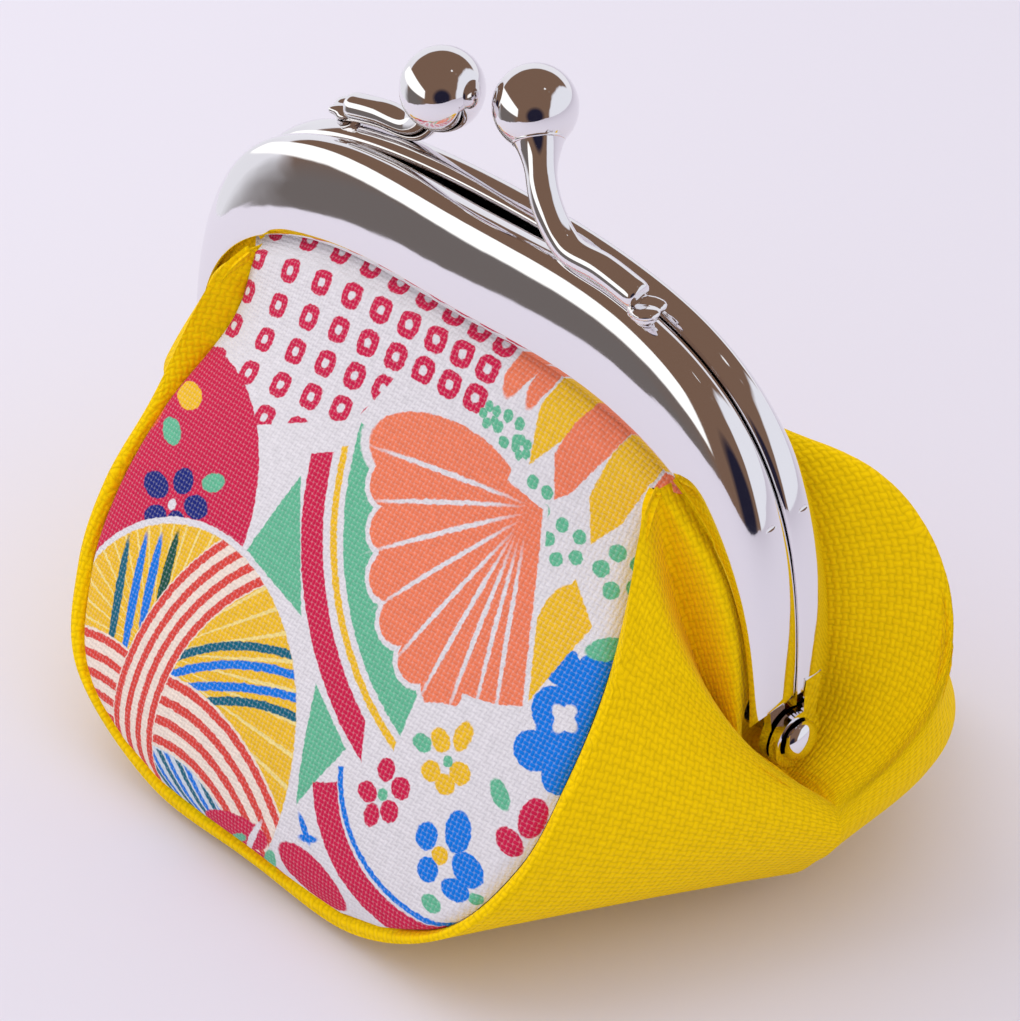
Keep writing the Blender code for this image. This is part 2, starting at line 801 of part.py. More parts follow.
def main():
    clear_scene()
    where = collection("kiss_lock_coin_purse")
    tools = collection("cutters")
    chrome = material("bright_metal", (0.80, 0.79, 0.80), 0.06, 1.0)
    print_look = material("printed_cotton", (0.84, 0.30, 0.36), 0.8)
    canvas_look = material("yellow_canvas", (0.86, 0.62, 0.04), 0.85)
    lining_look = material("lining_cotton", (0.85, 0.82, 0.76), 0.85)
    paper_look = material("paper_cord", (0.62, 0.50, 0.36), 0.9)
    build_frames(where, tools, chrome)
    build_rivets(where, chrome)
    build_clasp(where, chrome)
    build_paper_cords(where, paper_look)
    build_cloth(where, print_look, canvas_look, lining_look)


main()
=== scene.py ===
"""The looks of the kiss-lock coin purse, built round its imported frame.

The metal pieces and the cloth are lofted again over the purse's own guide curves, finely enough
for polished metal and for woven cloth. Every length is in metres, in the frame's own axes.
"""

import math

import bmesh
import bpy
import numpy as np
from mathutils import Matrix, Vector

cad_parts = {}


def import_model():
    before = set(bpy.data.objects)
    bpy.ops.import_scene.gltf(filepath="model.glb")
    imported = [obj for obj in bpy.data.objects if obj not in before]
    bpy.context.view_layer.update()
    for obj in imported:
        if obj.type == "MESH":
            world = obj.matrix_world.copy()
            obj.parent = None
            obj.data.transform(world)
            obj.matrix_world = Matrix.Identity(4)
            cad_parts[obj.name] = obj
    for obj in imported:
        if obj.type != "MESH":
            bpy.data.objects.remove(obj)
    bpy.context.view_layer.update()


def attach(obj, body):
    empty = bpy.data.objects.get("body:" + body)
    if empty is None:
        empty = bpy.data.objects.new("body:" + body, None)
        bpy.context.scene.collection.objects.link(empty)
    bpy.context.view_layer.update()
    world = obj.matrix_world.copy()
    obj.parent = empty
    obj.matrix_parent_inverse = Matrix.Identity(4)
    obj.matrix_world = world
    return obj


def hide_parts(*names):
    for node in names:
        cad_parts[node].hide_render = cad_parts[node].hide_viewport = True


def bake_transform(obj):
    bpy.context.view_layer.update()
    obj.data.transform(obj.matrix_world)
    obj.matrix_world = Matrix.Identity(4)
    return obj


MM = 0.001

# The purse's driving sizes
FRAME_WIDTH = 81.0 * MM
FRAME_RISE = 41.3 * MM
CREST_SQUARENESS = 3.2
RIM_SETBACK = 1.5 * MM
FACE_HEIGHT = 9.6 * MM
RIM_WIDTH = FRAME_WIDTH - 2 * RIM_SETBACK
RIM_RISE = FRAME_RISE - FACE_HEIGHT
RIM_SQUARENESS = 2.9
HINGE_HEIGHT = 21.5 * MM
CHANNEL_WIDTH = 5.0 * MM
CREST_LINE = 2.0 * MM
CREST_ROUND = 1.2 * MM
REAR_WALL_SHARE = 0.75
METAL = 0.6 * MM
HALF_PARTING = 0.15 * MM
MOUTH_BOW = 0.55 * MM
MOUTH_HALF_LENGTH = 22.0 * MM
LEG_END = 5.6 * MM
EAR_RADIUS = 3.0 * MM
EAR_THICKNESS = 0.9 * MM
EAR_NECK_WIDTH = 2.2 * MM
EAR_ROOT = 1.0 * MM
EAR_DISC_START = math.radians(143)
EAR_DISC_STOP = math.radians(360 + 102)
ROOT_LAP = 1.2 * MM
ROOT_INSET = 0.1 * MM
ROOT_COVER = 1.25 * MM
PIN_RADIUS = 1.2 * MM
PIN_HOLE_CLEARANCE = 0.3 * MM
RIVET_HEAD_RADIUS = 2.1 * MM
RIVET_HEAD_HEIGHT = 1.1 * MM
HINGE_CLEARANCE = 0.3 * MM
BALL_DIAMETER = 8.0 * MM
BALL_RISE = 52.0 * MM
BALL_SPACING = 8.3 * MM
BALL_CROSSING = 3.7 * MM
ROD_DIAMETER = 2.9 * MM
NECK_DIAMETER = 4.9 * MM
NECK_LENGTH = 3.6 * MM
NECK_SINK = 0.78
ROD_END = 21.5 * MM
ROD_BEND = 12.5 * MM
PANEL_HALF_WIDTH = 33.4 * MM
BAG_HALF_DEPTH = 34.0 * MM
CORNER_RISE = 25.5 * MM
LOBE = 9.5 * MM
CLOTH = 0.6 * MM
CANVAS = 0.8 * MM
LINING = 0.4 * MM
CLOTH_GAP = 0.3 * MM
SEAM_SETBACK = 1.4 * MM
EDGE_REACH = 1.5 * MM
EDGE_DROP = 0.75 * MM
PAPER_CORD = 1.2 * MM
RIM_CLEARANCE = 0.9 * MM
STALK_BOW = np.array([0.06, -0.12, -0.10])
PANEL_TUCK_SHARE = 0.45
PANEL_TUCK_SLACK = 0.7 * MM
PANEL_RIM_SLACK = 0.1 * MM
PANEL_RIM_DIP = 0.4 * MM
PANEL_CROWN = 2.4
PANEL_CORNER_REACH = 2.6 * MM
LOWEST_SHARE = 0.115
FOOT_INSET = 1.6 * MM
FOOT_REACH = 0.6 * MM
UNDER_INSET = 1.2 * MM
UNDER_DROP = 1.6 * MM
EXIT_REACH = 3.2 * MM
EXIT_DROP = 0.6 * MM
HELD_REACH = 2.6 * MM
HELD_RISE = 1.4 * MM
LEG_SHARES = [1.04, 0.8, 0.6, 0.4, 0.24]
FRONT_BOW = np.array([0.06, -0.12, 0.10])
BACK_LEAN = (1.0, 0.30, 0.22)

# How finely each piece is made
FRAME_STATIONS = 190
EAR_SIDES = 60
HOLE_SIDES = 48
DOME_POINTS = 20
CREST_POINTS = 8
PANEL_COLUMNS = 96
PANEL_ROWS = 84
LOWEST_ROWS = 10
TUCKED_ROWS = 10
FRONT_COLUMNS = 34
BACK_COLUMNS = 40
GUSSET_STEPS = [10, 12, 10, 9, 9, 9, 8, 5, 4, 3]
LINED_STEPS = 4

# The side seam of a panel: share of the corner's height, half width, reach to the front.
SEAM = [
    (1.00, 0.855, 0.185),
    (0.85, 0.892, 0.288),
    (0.684, 0.973, 0.482),
    (0.52, 1.000, 0.665),
    (0.357, 0.970, 0.815),
    (0.194, 0.817, 0.962),
    (0.045, 0.450, 1.000),
]
# The middle of a panel: height, reach.
PANEL_MIDDLE = [
    (1.09, 0.207),
    (0.878, 0.400),
    (0.694, 0.597),
    (0.51, 0.774),
    (0.327, 0.924),
    (0.153, 1.010),
    (0.035, 1.005),
]
# The middle of the gusset: half width, height, where its row meets the side seam, share of lobe.
GUSSET_ROWS = [
    (0.00, 0.00, None, 0.00),
    (0.54, 0.00, 0.045, 0.00),
    (0.94, 0.14, 0.194, 0.55),
    (1.086, 0.395, 0.357, 0.77),
    (1.143, 0.58, 0.52, 0.95),
    (1.136, 0.70, 0.684, 1.00),
]
# The ridge of the side fold and the wall behind it, in lobes from the frame's side at the hinge.
RIDGE_FRONT = [
    (-1.15, -1.12, 2.38),
    (-0.65, -1.14, 1.56),
    (-0.20, -1.00, 0.88),
    (0.16, -0.62, 0.18),
    (0.47, 0.0, -0.53),
]
RIDGE_BACK = [
    (0.47, 0.0, -0.53),
    (0.74, 0.80, 0.0),
    (0.82, 1.42, 0.95),
    (0.47, 1.52, 2.00),
    (-0.26, 1.36, 2.62),
    (-1.10, 1.05, 2.50),
]
WALL_FRONT = [
    (-1.30, -0.74, 2.74),
    (-1.05, -0.66, 1.58),
    (-0.70, -0.64, 0.72),
    (-0.34, -0.54, -0.05),
    (0.0, 0.0, -0.62),
]
WALL_BACK = [
    (0.10, 0.0, -0.47),
    (0.27, 0.62, 0.0),
    (0.32, 1.0, 0.95),
    (0.05, 1.05, 2.0),
    (-0.53, 0.90, 2.65),
    (-1.15, 0.76, 2.80),
]

BACK_TURN = Matrix.Rotation(math.pi, 4, "Z")
MIRROR_X = np.array([-1, 1, 1])
TURN_Z = np.array([-1, -1, 1])

# The seam: shares of the way to the panel's edge with the lift there, and the rows where it fades
SEAM_ROLL = [
    (0.32, 0.10 * MM),
    (0.68, 0.00),
    (0.88, -0.5 * MM),
    (0.92, -1.0 * MM),
]
ROLL_ROWS = (70, 75)
BORDER_POINTS = 3000
LOBE_ROUNDS = 40
LOBE_COLUMNS = (38, 48)
LOBE_ROWS = (6, 12)
NICK_PLACE = (38.2 * MM, -2.2 * MM, 46.0 * MM)
NICK_SIZE = (0.42 * MM, 0.85 * MM, 0.32 * MM)
SOLDER_SHIFT = (0.5 * MM, 0.0, -1.0 * MM)
SOLDER_SIZE = (1.7, 1.55, 1.0)
COLLAR_INSET = 0.10 * MM
COLLAR_BULGE = 0.16 * MM
COLLAR_HALF_HEIGHT = 0.22 * MM

# The print, in millimetres across from the panel's middle and down from its top edge
PRINT_EDGE = 0.12
PRINT_WANDER = 0.34
OVAL_REACH = 1.5
COTTON_PITCH = 0.5
COTTON_RELIEF = 0.10 * MM
CANVAS_PITCH = 0.72
CANVAS_RELIEF = 0.12 * MM
RING_START = (0.2, 8.55)
RING_LEAN = 0.02
RING_COLUMNS = (0.2794, 0.00216)
RING_ROWS = (3.2, -0.03)
RING_RADIUS = 0.88
RING_WIDTH = 0.86
ARC_CENTRE = (27.6, 12.6)
PALE_BALL = (21.6, 47.3, 10.3)
FAN_ENDS = [
    (0.0, 18.9, 2.3),
    (1.9, 22.6, 2.4),
    (4.3, 26.3, 2.4),
    (6.7, 30.1, 2.5),
    (9.8, 33.2, 2.4),
    (13.4, 35.5, 2.3),
    (17.0, 36.4, 2.4),
]
FAN_LINES = [
    ((15.0, 17.6), (-0.9, 20.4)),
    ((15.3, 18.2), (1.4, 24.8)),
    ((15.6, 19.2), (3.8, 28.9)),
    ((15.9, 20.2), (7.1, 32.8)),
    ((16.2, 21.4), (11.3, 36.2)),
    ((16.6, 22.0), (15.3, 38.6)),
    ((17.2, 22.2), (18.6, 37.6)),
    ((17.8, 22.0), (21.2, 36.8)),
    ((18.4, 21.6), (23.4, 36.4)),
]
UPRIGHT_CENTRE = (9.5, 55.3)
UPRIGHT_RADIUS = 27.1

# The stage, the light and the camera
FLOOR_SIZE = 4.0
LIGHT_AIM = (0.0, 0.0, 0.03)
WORLD_STRENGTH = 1.0
CAMERA_AZIMUTH = 46.11
CAMERA_ELEVATION = 37.21
CAMERA_ROLL = -0.63
CAMERA_TARGET = (2.197 * MM, 0.0, 27.6 * MM)
CAMERA_DISTANCE = 344.8 * MM
CAMERA_LENS = 123.6


# Curves and lofts


def catmull_rom(points, counts):
    """Points on a smooth curve through the given ones, with counts[i] steps on stretch i."""
    points = np.asarray(points, float)
    first = 2 * points[0] - points[1]
    last = 2 * points[-1] - points[-2]
    padded = np.concatenate([[first], points, [last]])
    made = []
    for i, steps in enumerate(counts):
        a, b, c, d = padded[i : i + 4]
        for t in np.arange(steps) / steps:
            bend = 2 * a - 5 * b + 4 * c - d
            twist = 3 * b - a - 3 * c + d
            made.append(0.5 * (2 * b + (c - a) * t + bend * t**2 + twist * t**3))
    made.append(points[-1])
    return np.array(made)


def even_curve(points, count):
    """count + 1 points at even distances along a smooth curve through the given ones."""
    fine = catmull_rom(points, [40] * (len(points) - 1))
    lengths = np.concatenate([[0], np.cumsum(np.linalg.norm(np.diff(fine, axis=0), axis=1))])
    wanted = np.linspace(0, lengths[-1], count + 1)
    return np.stack([np.interp(wanted, lengths, fine[:, k]) for k in range(3)], axis=1)


def grid_normals(grid):
    along = np.gradient(grid, axis=0)
    across = np.gradient(grid, axis=1)
    normals = np.cross(along, across)
    return normals / np.maximum(np.linalg.norm(normals, axis=2, keepdims=True), 1e-12)


def smooth_grid(grid, rounds, share=0.5):
    """The grid with its inner points drawn towards the mean of their neighbours."""
    made = grid.copy()
    for _ in range(rounds):
        mean = 0.25 * (made[:-2, 1:-1] + made[2:, 1:-1] + made[1:-1, :-2] + made[1:-1, 2:])
        made[1:-1, 1:-1] += share * (mean - made[1:-1, 1:-1])
    return made


def flat_pattern(grid, rounds=500):
    """The piece laid flat: grid points in a plane, as near as they go to their real distances."""
    rows, columns = grid.shape[:2]
    middle = columns // 2
    across = np.linalg.norm(np.diff(grid, axis=1), axis=2)
    along = np.linalg.norm(np.diff(grid, axis=0), axis=2)
    u = np.concatenate([np.zeros((rows, 1)), np.cumsum(across, axis=1)], axis=1)
    u -= u[:, middle : middle + 1]
    v = np.concatenate([np.zeros((1, columns)), np.cumsum(along, axis=0)])
    v = np.repeat(v[:, middle : middle + 1], columns, axis=1)
    flat = np.stack([u, v], axis=2)
    pulls = [
        (np.s_[:, :-1], np.s_[:, 1:]),
        (np.s_[:-1, :], np.s_[1:, :]),
        (np.s_[:-1, :-1], np.s_[1:, 1:]),
        (np.s_[1:, :-1], np.s_[:-1, 1:]),
    ]
    lengths = [np.linalg.norm(grid[b] - grid[a], axis=2) for a, b in pulls]
    count = np.zeros((rows, columns, 1))
    for a, b in pulls:
        count[a] += 1
        count[b] += 1
    for _ in range(rounds):
        move = np.zeros_like(flat)
        for (a, b), length in zip(pulls, lengths):
            step = flat[b] - flat[a]
            now = np.maximum(np.linalg.norm(step, axis=2), 1e-9)
            push = step * (0.5 * (1 - length / now))[:, :, None]
            move[a] += push
            move[b] -= push
        flat += 1.6 * move / count
    return flat - flat[0, middle]


# The metal


def arch_height(x, width, rise, squareness):
    share = min(abs(x) / (width / 2), 1.0)
    return rise * (1 - share**squareness) ** (1 / squareness)


def arch_side(z, width, rise, squareness):
    share = min(max(z, 0.0) / rise, 1.0)
    return width / 2 * (1 - share**squareness) ** (1 / squareness)


def crest_height(x):
    return arch_height(x, FRAME_WIDTH, FRAME_RISE, CREST_SQUARENESS)


def rim_height(x):
    return arch_height(x, RIM_WIDTH, RIM_RISE, RIM_SQUARENESS)


def arch_point(angle, width, rise, squareness):
    c = math.cos(angle)
    s = math.sin(angle)
    x = width / 2 * math.copysign(abs(c) ** (2 / squareness), c)
    z = rise * abs(s) ** (2 / squareness)
    return np.array([x, z])


def mouth_bow(x):
    """How far a half curves away from the meeting plane, along the top."""
    share = min(abs(x) / MOUTH_HALF_LENGTH, 1.0)
    return MOUTH_BOW * math.cos(share * math.pi / 2) ** 2


def frame_angles(count):
    """Angles at even distances along the crest, between the two ends of the legs."""
    start = math.asin((LEG_END / FRAME_RISE) ** (CREST_SQUARENESS / 2))
    fine = np.linspace(start, math.pi - start, 2400)
    points = np.array([arch_point(a, FRAME_WIDTH, FRAME_RISE, CREST_SQUARENESS) for a in fine])
    lengths = np.concatenate([[0], np.cumsum(np.linalg.norm(np.diff(points, axis=0), axis=1))])
    return np.interp(np.linspace(0, lengths[-1], count), lengths, fine)


def channel_profile(face):
    """The channel's section as (from the meeting face, from the crest), for a face this high."""
    top_round = min(CREST_ROUND, 0.45 * face)
    front_reach = CHANNEL_WIDTH - CREST_LINE
    outer = [(0.0, REAR_WALL_SHARE * face)]
    for angle in np.linspace(0, math.pi / 2, CREST_POINTS)[:-1]:
        outer.append((CREST_LINE * (1 - math.cos(angle)), top_round * (1 - math.sin(angle))))
    for angle in np.linspace(0, math.pi / 2, DOME_POINTS):
        outer.append((CREST_LINE + front_reach * math.sin(angle), face * (1 - math.cos(angle))))
    outer = np.array(outer)
    along = np.gradient(outer, axis=0)
    along[0] = (0.0, -1.0)
    along[-1] = (0.0, 1.0)
    along /= np.linalg.norm(along, axis=1, keepdims=True)
    inner = outer + METAL * np.stack([-along[:, 1], along[:, 0]], axis=1)
    lip = []
    for angle in np.linspace(math.pi / 4, 3 * math.pi / 4, 3):
        middle = 0.5 * (outer[-1] + inner[-1])
        reach = METAL / 2
        lip.append(middle + reach * np.array([math.cos(angle), 0.6 * math.sin(angle)]))
    return np.vstack([outer, lip, inner[::-1]])


def frame_ring(angle):
    crest = arch_point(angle, FRAME_WIDTH, FRAME_RISE, CREST_SQUARENESS)
    rim = arch_point(angle, RIM_WIDTH, RIM_RISE, RIM_SQUARENESS)
    face = np.linalg.norm(rim - crest)
    inward = (rim - crest) / face
    back = -HALF_PARTING - mouth_bow(crest[0])
    ring = []
    for width, depth in channel_profile(face):
        x, z = crest + inward * depth
        ring.append((x, back - width, z + HINGE_HEIGHT))
    return ring


def mesh_from(name, shape):
    mesh = bpy.data.meshes.new(name)
    shape.to_mesh(mesh)
    shape.free()
    return mesh


def loft_solid(name, rings):
    """A closed solid through rings of points, capped at both ends."""
    shape = bmesh.new()
    verts = [[shape.verts.new(p) for p in ring] for ring in rings]
    count = len(verts[0])
    for low, high in zip(verts, verts[1:]):
        for j in range(count):
            k = (j + 1) % count
            shape.faces.new((low[j], low[k], high[k], high[j]))
    shape.faces.new(reversed(verts[0]))
    shape.faces.new(verts[-1])
    bmesh.ops.recalc_face_normals(shape, faces=shape.faces)
    return mesh_from(name, shape)


def add_object(name, mesh):
    made = bpy.data.objects.new(name, mesh)
    bpy.context.scene.collection.objects.link(made)
    return made


def smooth(mesh, angle=35):
    mesh.shade_smooth()
    mesh.set_sharp_from_angle(angle=math.radians(angle))


def bake_modifiers(thing):
    """Replaces the object's mesh by its evaluated one."""
    graph = bpy.context.evaluated_depsgraph_get()
    mesh = bpy.data.meshes.new_from_object(thing.evaluated_get(graph))
    thing.modifiers.clear()
    thing.data = mesh
    return mesh


def nick_mesh(name, side):
    """The small mark of the pliers that closed the channel on the cloth."""
    shape = bmesh.new()
    bmesh.ops.create_icosphere(shape, subdivisions=4, radius=1.0)
    mesh = mesh_from(name, shape)
    size = Matrix.Diagonal((*NICK_SIZE, 1.0))
    place = Matrix.Translation((side * NICK_PLACE[0], NICK_PLACE[1], NICK_PLACE[2]))
    mesh.transform(place @ size)
    return mesh


def ear_ranges():
    """The inner and the outer ear as ranges of X on the right."""
    outer = (FRAME_WIDTH / 2 - EAR_THICKNESS, FRAME_WIDTH / 2)
    inner = (outer[0] - HINGE_CLEARANCE - EAR_THICKNESS, outer[0] - HINGE_CLEARANCE)
    return inner, outer


def neck_outline():
    back = -HALF_PARTING - METAL
    front = back - EAR_NECK_WIDTH
    top = LEG_END + EAR_ROOT
    return [(back, top), (front, top)]


def ear_outline():
    angles = np.linspace(EAR_DISC_START, EAR_DISC_STOP, EAR_SIDES)
    disc = [(EAR_RADIUS * math.cos(a), EAR_RADIUS * math.sin(a)) for a in angles]
    return neck_outline() + disc


def root_outline():
    (back, top), (front, _) = neck_outline()
    low = LEG_END - ROOT_LAP
    return [(back, top), (front, top), (front, low), (back, low)]


def plate_mesh(name, outline, low, high):
    """A flat plate across X, over an outline in the hinge's own plane."""
    shape = bmesh.new()
    verts = [shape.verts.new((low, y, z + HINGE_HEIGHT)) for y, z in outline]
    face = shape.faces.new(verts)
    pulled = bmesh.ops.extrude_face_region(shape, geom=[face])
    moved = [v for v in pulled["geom"] if isinstance(v, bmesh.types.BMVert)]
    bmesh.ops.translate(shape, verts=moved, vec=(high - low, 0, 0))
    bmesh.ops.recalc_face_normals(shape, faces=shape.faces)
    return mesh_from(name, shape)


def drill_mesh(name, radius, low, high):
    shape = bmesh.new()
    turn = Matrix.Rotation(math.pi / 2, 4, "Y")
    place = Matrix.Translation(((low + high) / 2, 0, HINGE_HEIGHT))
    bmesh.ops.create_cone(
        shape,
        cap_ends=True,
        segments=HOLE_SIDES,
        radius1=radius,
        radius2=radius,
        depth=high - low,
        matrix=place @ turn,
    )
    return mesh_from(name, shape)


def boolean(thing, tool, operation):
    modifier = thing.modifiers.new(operation.title(), "BOOLEAN")
    modifier.operation = operation
    modifier.object = tool
    modifier.solver = "EXACT"


def frame_mesh():
    """One half of the clasp frame: the pressed channel with its ears and pin holes."""
    rings = [frame_ring(a) for a in frame_angles(FRAME_STATIONS)]
    channel = add_object("channel_blank", loft_solid("channel_blank", rings))
    tools = []
    inner, outer = ear_ranges()
    for side, (low, high) in {"right": inner, "left": (-outer[1], -outer[0])}.items():
        ear = add_object(f"{side}_ear", plate_mesh(f"{side}_ear", ear_outline(), low, high))
        hole = drill_mesh(f"{side}_hole", PIN_RADIUS + PIN_HOLE_CLEARANCE, low - MM, high + MM)
        drill = add_object(f"{side}_drill", hole)
        boolean(ear, drill, "DIFFERENCE")
        boolean(channel, ear, "UNION")
        tools += [ear, drill]
    root_mesh = plate_mesh("inner_root", root_outline(), inner[0] + ROOT_INSET, outer[1] - ROOT_COVER)
    root = add_object("inner_root", root_mesh)
    boolean(channel, root, "UNION")
    for side in (1, -1):
        nick = add_object("nick", nick_mesh("nick", side))
        boolean(channel, nick, "DIFFERENCE")
        tools.append(nick)
    mesh = bake_modifiers(channel)
    for tool in tools + [root, channel]:
        bpy.data.objects.remove(tool)
    smooth(mesh, 42)
    return mesh


def turned_mesh(name, profile, steps):
    """A solid turned round Z from (radius, height) points, bottom to top."""
    shape = bmesh.new()
    verts = [shape.verts.new((radius, 0, height)) for radius, height in profile]
    edges = [shape.edges.new(pair) for pair in zip(verts, verts[1:])]
    bmesh.ops.spin(
        shape,
        geom=verts + edges,
        axis=(0, 0, 1),
        cent=(0, 0, 0),
        angle=2 * math.pi,
        steps=steps,
        use_merge=True,
    )
    bmesh.ops.remove_doubles(shape, verts=shape.verts, dist=1e-7)
    bmesh.ops.recalc_face_normals(shape, faces=shape.faces)
    return mesh_from(name, shape)


def rod_point(x):
    """The axis of the rod where it lies along the front half's crest."""
    y = -HALF_PARTING - mouth_bow(x) - CREST_LINE
    z = crest_height(x) + CLOTH_GAP + ROD_DIAMETER / 2 + HINGE_HEIGHT
    return np.array([x, y, z])


def ball_centre():
    return np.array([BALL_SPACING / 2, BALL_CROSSING / 2, BALL_RISE + HINGE_HEIGHT])


def stalk_route():
    centre = ball_centre()
    bend = rod_point(ROD_BEND)
    root = bend + 0.5 * (centre - bend) + STALK_BOW * np.linalg.norm(centre - bend)
    away = root - centre
    away /= np.linalg.norm(away)
    tip = centre + away * NECK_SINK * BALL_DIAMETER / 2
    return [rod_point(ROD_END), rod_point((ROD_END + ROD_BEND) / 2), bend, root, tip]


def tube_rings(route, radii, sides):
    """Rings round a route, each turned as little as can be from the one before."""
    tangents = np.gradient(route, axis=0)
    tangents /= np.linalg.norm(tangents, axis=1, keepdims=True)
    side = np.cross(tangents[0], (0.0, 0.0, 1.0))
    rings = []
    for place, tangent, radius in zip(route, tangents, radii):
        side = side - tangent * (side @ tangent)
        side /= np.linalg.norm(side)
        up = np.cross(tangent, side)
        angles = np.arange(sides) * 2 * math.pi / sides
        rings.append(place + radius * (np.outer(np.cos(angles), side) + np.outer(np.sin(angles), up)))
    return rings


def stalk_mesh(name):
    """The soldered rod: a rounded end, the run along the crest, the bend and the cone to the ball."""
    route = even_curve(stalk_route(), 96)
    lengths = np.concatenate([[0], np.cumsum(np.linalg.norm(np.diff(route, axis=0), axis=1))])
    to_tip = lengths[-1] - lengths
    radii = np.full(len(route), ROD_DIAMETER / 2)
    flare = np.clip(1 - to_tip / NECK_LENGTH, 0, 1)
    radii += (NECK_DIAMETER - ROD_DIAMETER) / 2 * flare**1.8
    end_round = 0.35 * ROD_DIAMETER
    near = np.clip(lengths / end_round, 0, 1)
    radii *= 0.72 + 0.28 * np.sqrt(1 - (1 - near) ** 2)
    mesh = loft_solid(name, tube_rings(route, radii, 40))
    smooth(mesh, 50)
    return mesh


def ball_mesh(name):
    """The ball's outer skin, round its own centre."""
    radius = BALL_DIAMETER / 2
    shape = bmesh.new()
    bmesh.ops.create_uvsphere(shape, u_segments=72, v_segments=48, radius=radius)
    mesh = mesh_from(name, shape)
    mesh.shade_smooth()
    return mesh


def collar_mesh(name):
    """The thin soldered ring where the cone meets the ball."""
    centre = ball_centre()
    tip = np.array(stalk_route()[-1])
    profile = []
    ring = NECK_DIAMETER / 2 - COLLAR_INSET
    for angle in np.linspace(-math.pi / 2, math.pi / 2, 9):
        height = COLLAR_HALF_HEIGHT * math.sin(angle)
        profile.append((ring + COLLAR_BULGE * math.cos(angle), height))
    profile = [(0.0, -COLLAR_HALF_HEIGHT)] + profile + [(0.0, COLLAR_HALF_HEIGHT)]
    mesh = turned_mesh(name, profile, 48)
    aim = Vector(centre - tip).to_track_quat("Z", "Y").to_matrix().to_4x4()
    mesh.transform(Matrix.Translation(tip) @ aim)
    smooth(mesh, 40)
    return mesh


def solder_mesh(name):
    """The uneven blob of solder at the rod's end, on the crest."""
    shape = bmesh.new()
    bmesh.ops.create_icosphere(shape, subdivisions=4, radius=1.0)
    rng = np.random.default_rng(4)
    waves = rng.normal(size=(6, 3)) * 2.4
    phases = rng.uniform(0, 2 * math.pi, 6)
    place = rod_point(ROD_END) + np.array(SOLDER_SHIFT)
    size = np.array(SOLDER_SIZE) * MM
    for vert in shape.verts:
        p = np.array(vert.co)
        swell = 1 + 0.09 * np.sin(waves @ p + phases).sum()
        vert.co = place + p * size * swell
    mesh = mesh_from(name, shape)
    mesh.shade_smooth()
    return mesh


def rivet_mesh(name):
    inner, outer = ear_ranges()
    low = inner[0] - HINGE_CLEARANCE
    high = outer[1] + HINGE_CLEARANCE
    profile = []
    for angle in np.linspace(0, math.pi / 2, 14):
        profile.append((RIVET_HEAD_RADIUS * math.sin(angle), low - RIVET_HEAD_HEIGHT * math.cos(angle)))
    profile += [(PIN_RADIUS, low), (PIN_RADIUS, high)]
    for angle in np.linspace(math.pi / 2, 0, 14):
        profile.append((RIVET_HEAD_RADIUS * math.sin(angle), high + RIVET_HEAD_HEIGHT * math.cos(angle)))
    mesh = turned_mesh(name, profile, 56)
    mesh.transform(Matrix.Translation((0, 0, HINGE_HEIGHT)) @ Matrix.Rotation(math.pi / 2, 4, "Y"))
    smooth(mesh, 40)
    return mesh


def build_metal(look):
    frame = frame_mesh()
    pieces = {"frame": frame, "clasp_stalk": stalk_mesh("clasp_stalk"), "solder": solder_mesh("solder")}
    pieces["ball_collar"] = collar_mesh("ball_collar")
    ball = ball_mesh("clasp_ball")
    ball.transform(Matrix.Translation(ball_centre()))
    pieces["clasp_ball"] = ball
    for half in ("front", "back"):
        for kind, source in pieces.items():
            mesh = source.copy()
            if half == "back":
                mesh.transform(BACK_TURN)
            made = add_object(f"{half}_{kind}_fine", mesh)
            mesh.materials.clear()
            mesh.materials.append(look)
            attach(made, f"{half}_half")
            if f"{half}_{kind}" in ("front_frame", "back_frame") or kind in ("clasp_stalk", "clasp_ball"):
                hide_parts(f"{half}_{kind}")
    rivet = rivet_mesh("hinge_rivet")
    for side in ("right", "left"):
        mesh = rivet.copy()
        if side == "left":
            mesh.transform(BACK_TURN)
        made = add_object(f"{side}_hinge_rivet_fine", mesh)
        mesh.materials.append(look)
        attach(made, "pouch")
        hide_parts(f"{side}_hinge_rivet")


# The cloth's surfaces


def corner_height():
    return HINGE_HEIGHT + CORNER_RISE


def share_curve(stations, share):
    """A smooth value along stations whose first entry is the share."""
    table = np.array(stations)[::-1]
    fine = catmull_rom(table, [24] * (len(table) - 1))
    return np.array([np.interp(share, fine[:, 0], fine[:, k]) for k in range(1, fine.shape[1])])


def seam_point(share):
    half, reach = share_curve(SEAM, share)
    return np.array([half * PANEL_HALF_WIDTH, -reach * BAG_HALF_DEPTH, share * corner_height()])


def middle_point(share):
    (reach,) = share_curve(PANEL_MIDDLE, share)
    return np.array([0.0, -reach * BAG_HALF_DEPTH, share * corner_height()])


def leg_point(rise, inset, depth):
    """A point beside the front leg's rim at this height: inset from the rim, depth from the face."""
    x = arch_side(rise, RIM_WIDTH, RIM_RISE, RIM_SQUARENESS)
    step = 0.2 * MM
    ahead = arch_side(rise + step, RIM_WIDTH, RIM_RISE, RIM_SQUARENESS)
    run = np.array([ahead - x, step])
    run /= np.linalg.norm(run)
    inward = np.array([-run[1], run[0]])
    place = np.array([x, rise]) + inward * inset
    return np.array([place[0], -HALF_PARTING - depth, place[1] + HINGE_HEIGHT])


def cloth_depth():
    return CHANNEL_WIDTH - METAL - 1.6 * CLOTH_GAP


def side_place(values):
    bulge, reach, rise = values
    return np.array([FRAME_WIDTH / 2 + bulge * LOBE, reach * LOBE, HINGE_HEIGHT + rise * LOBE])


def other_side(points):
    return [np.array([x, -y, z]) for x, y, z in reversed(list(points))]


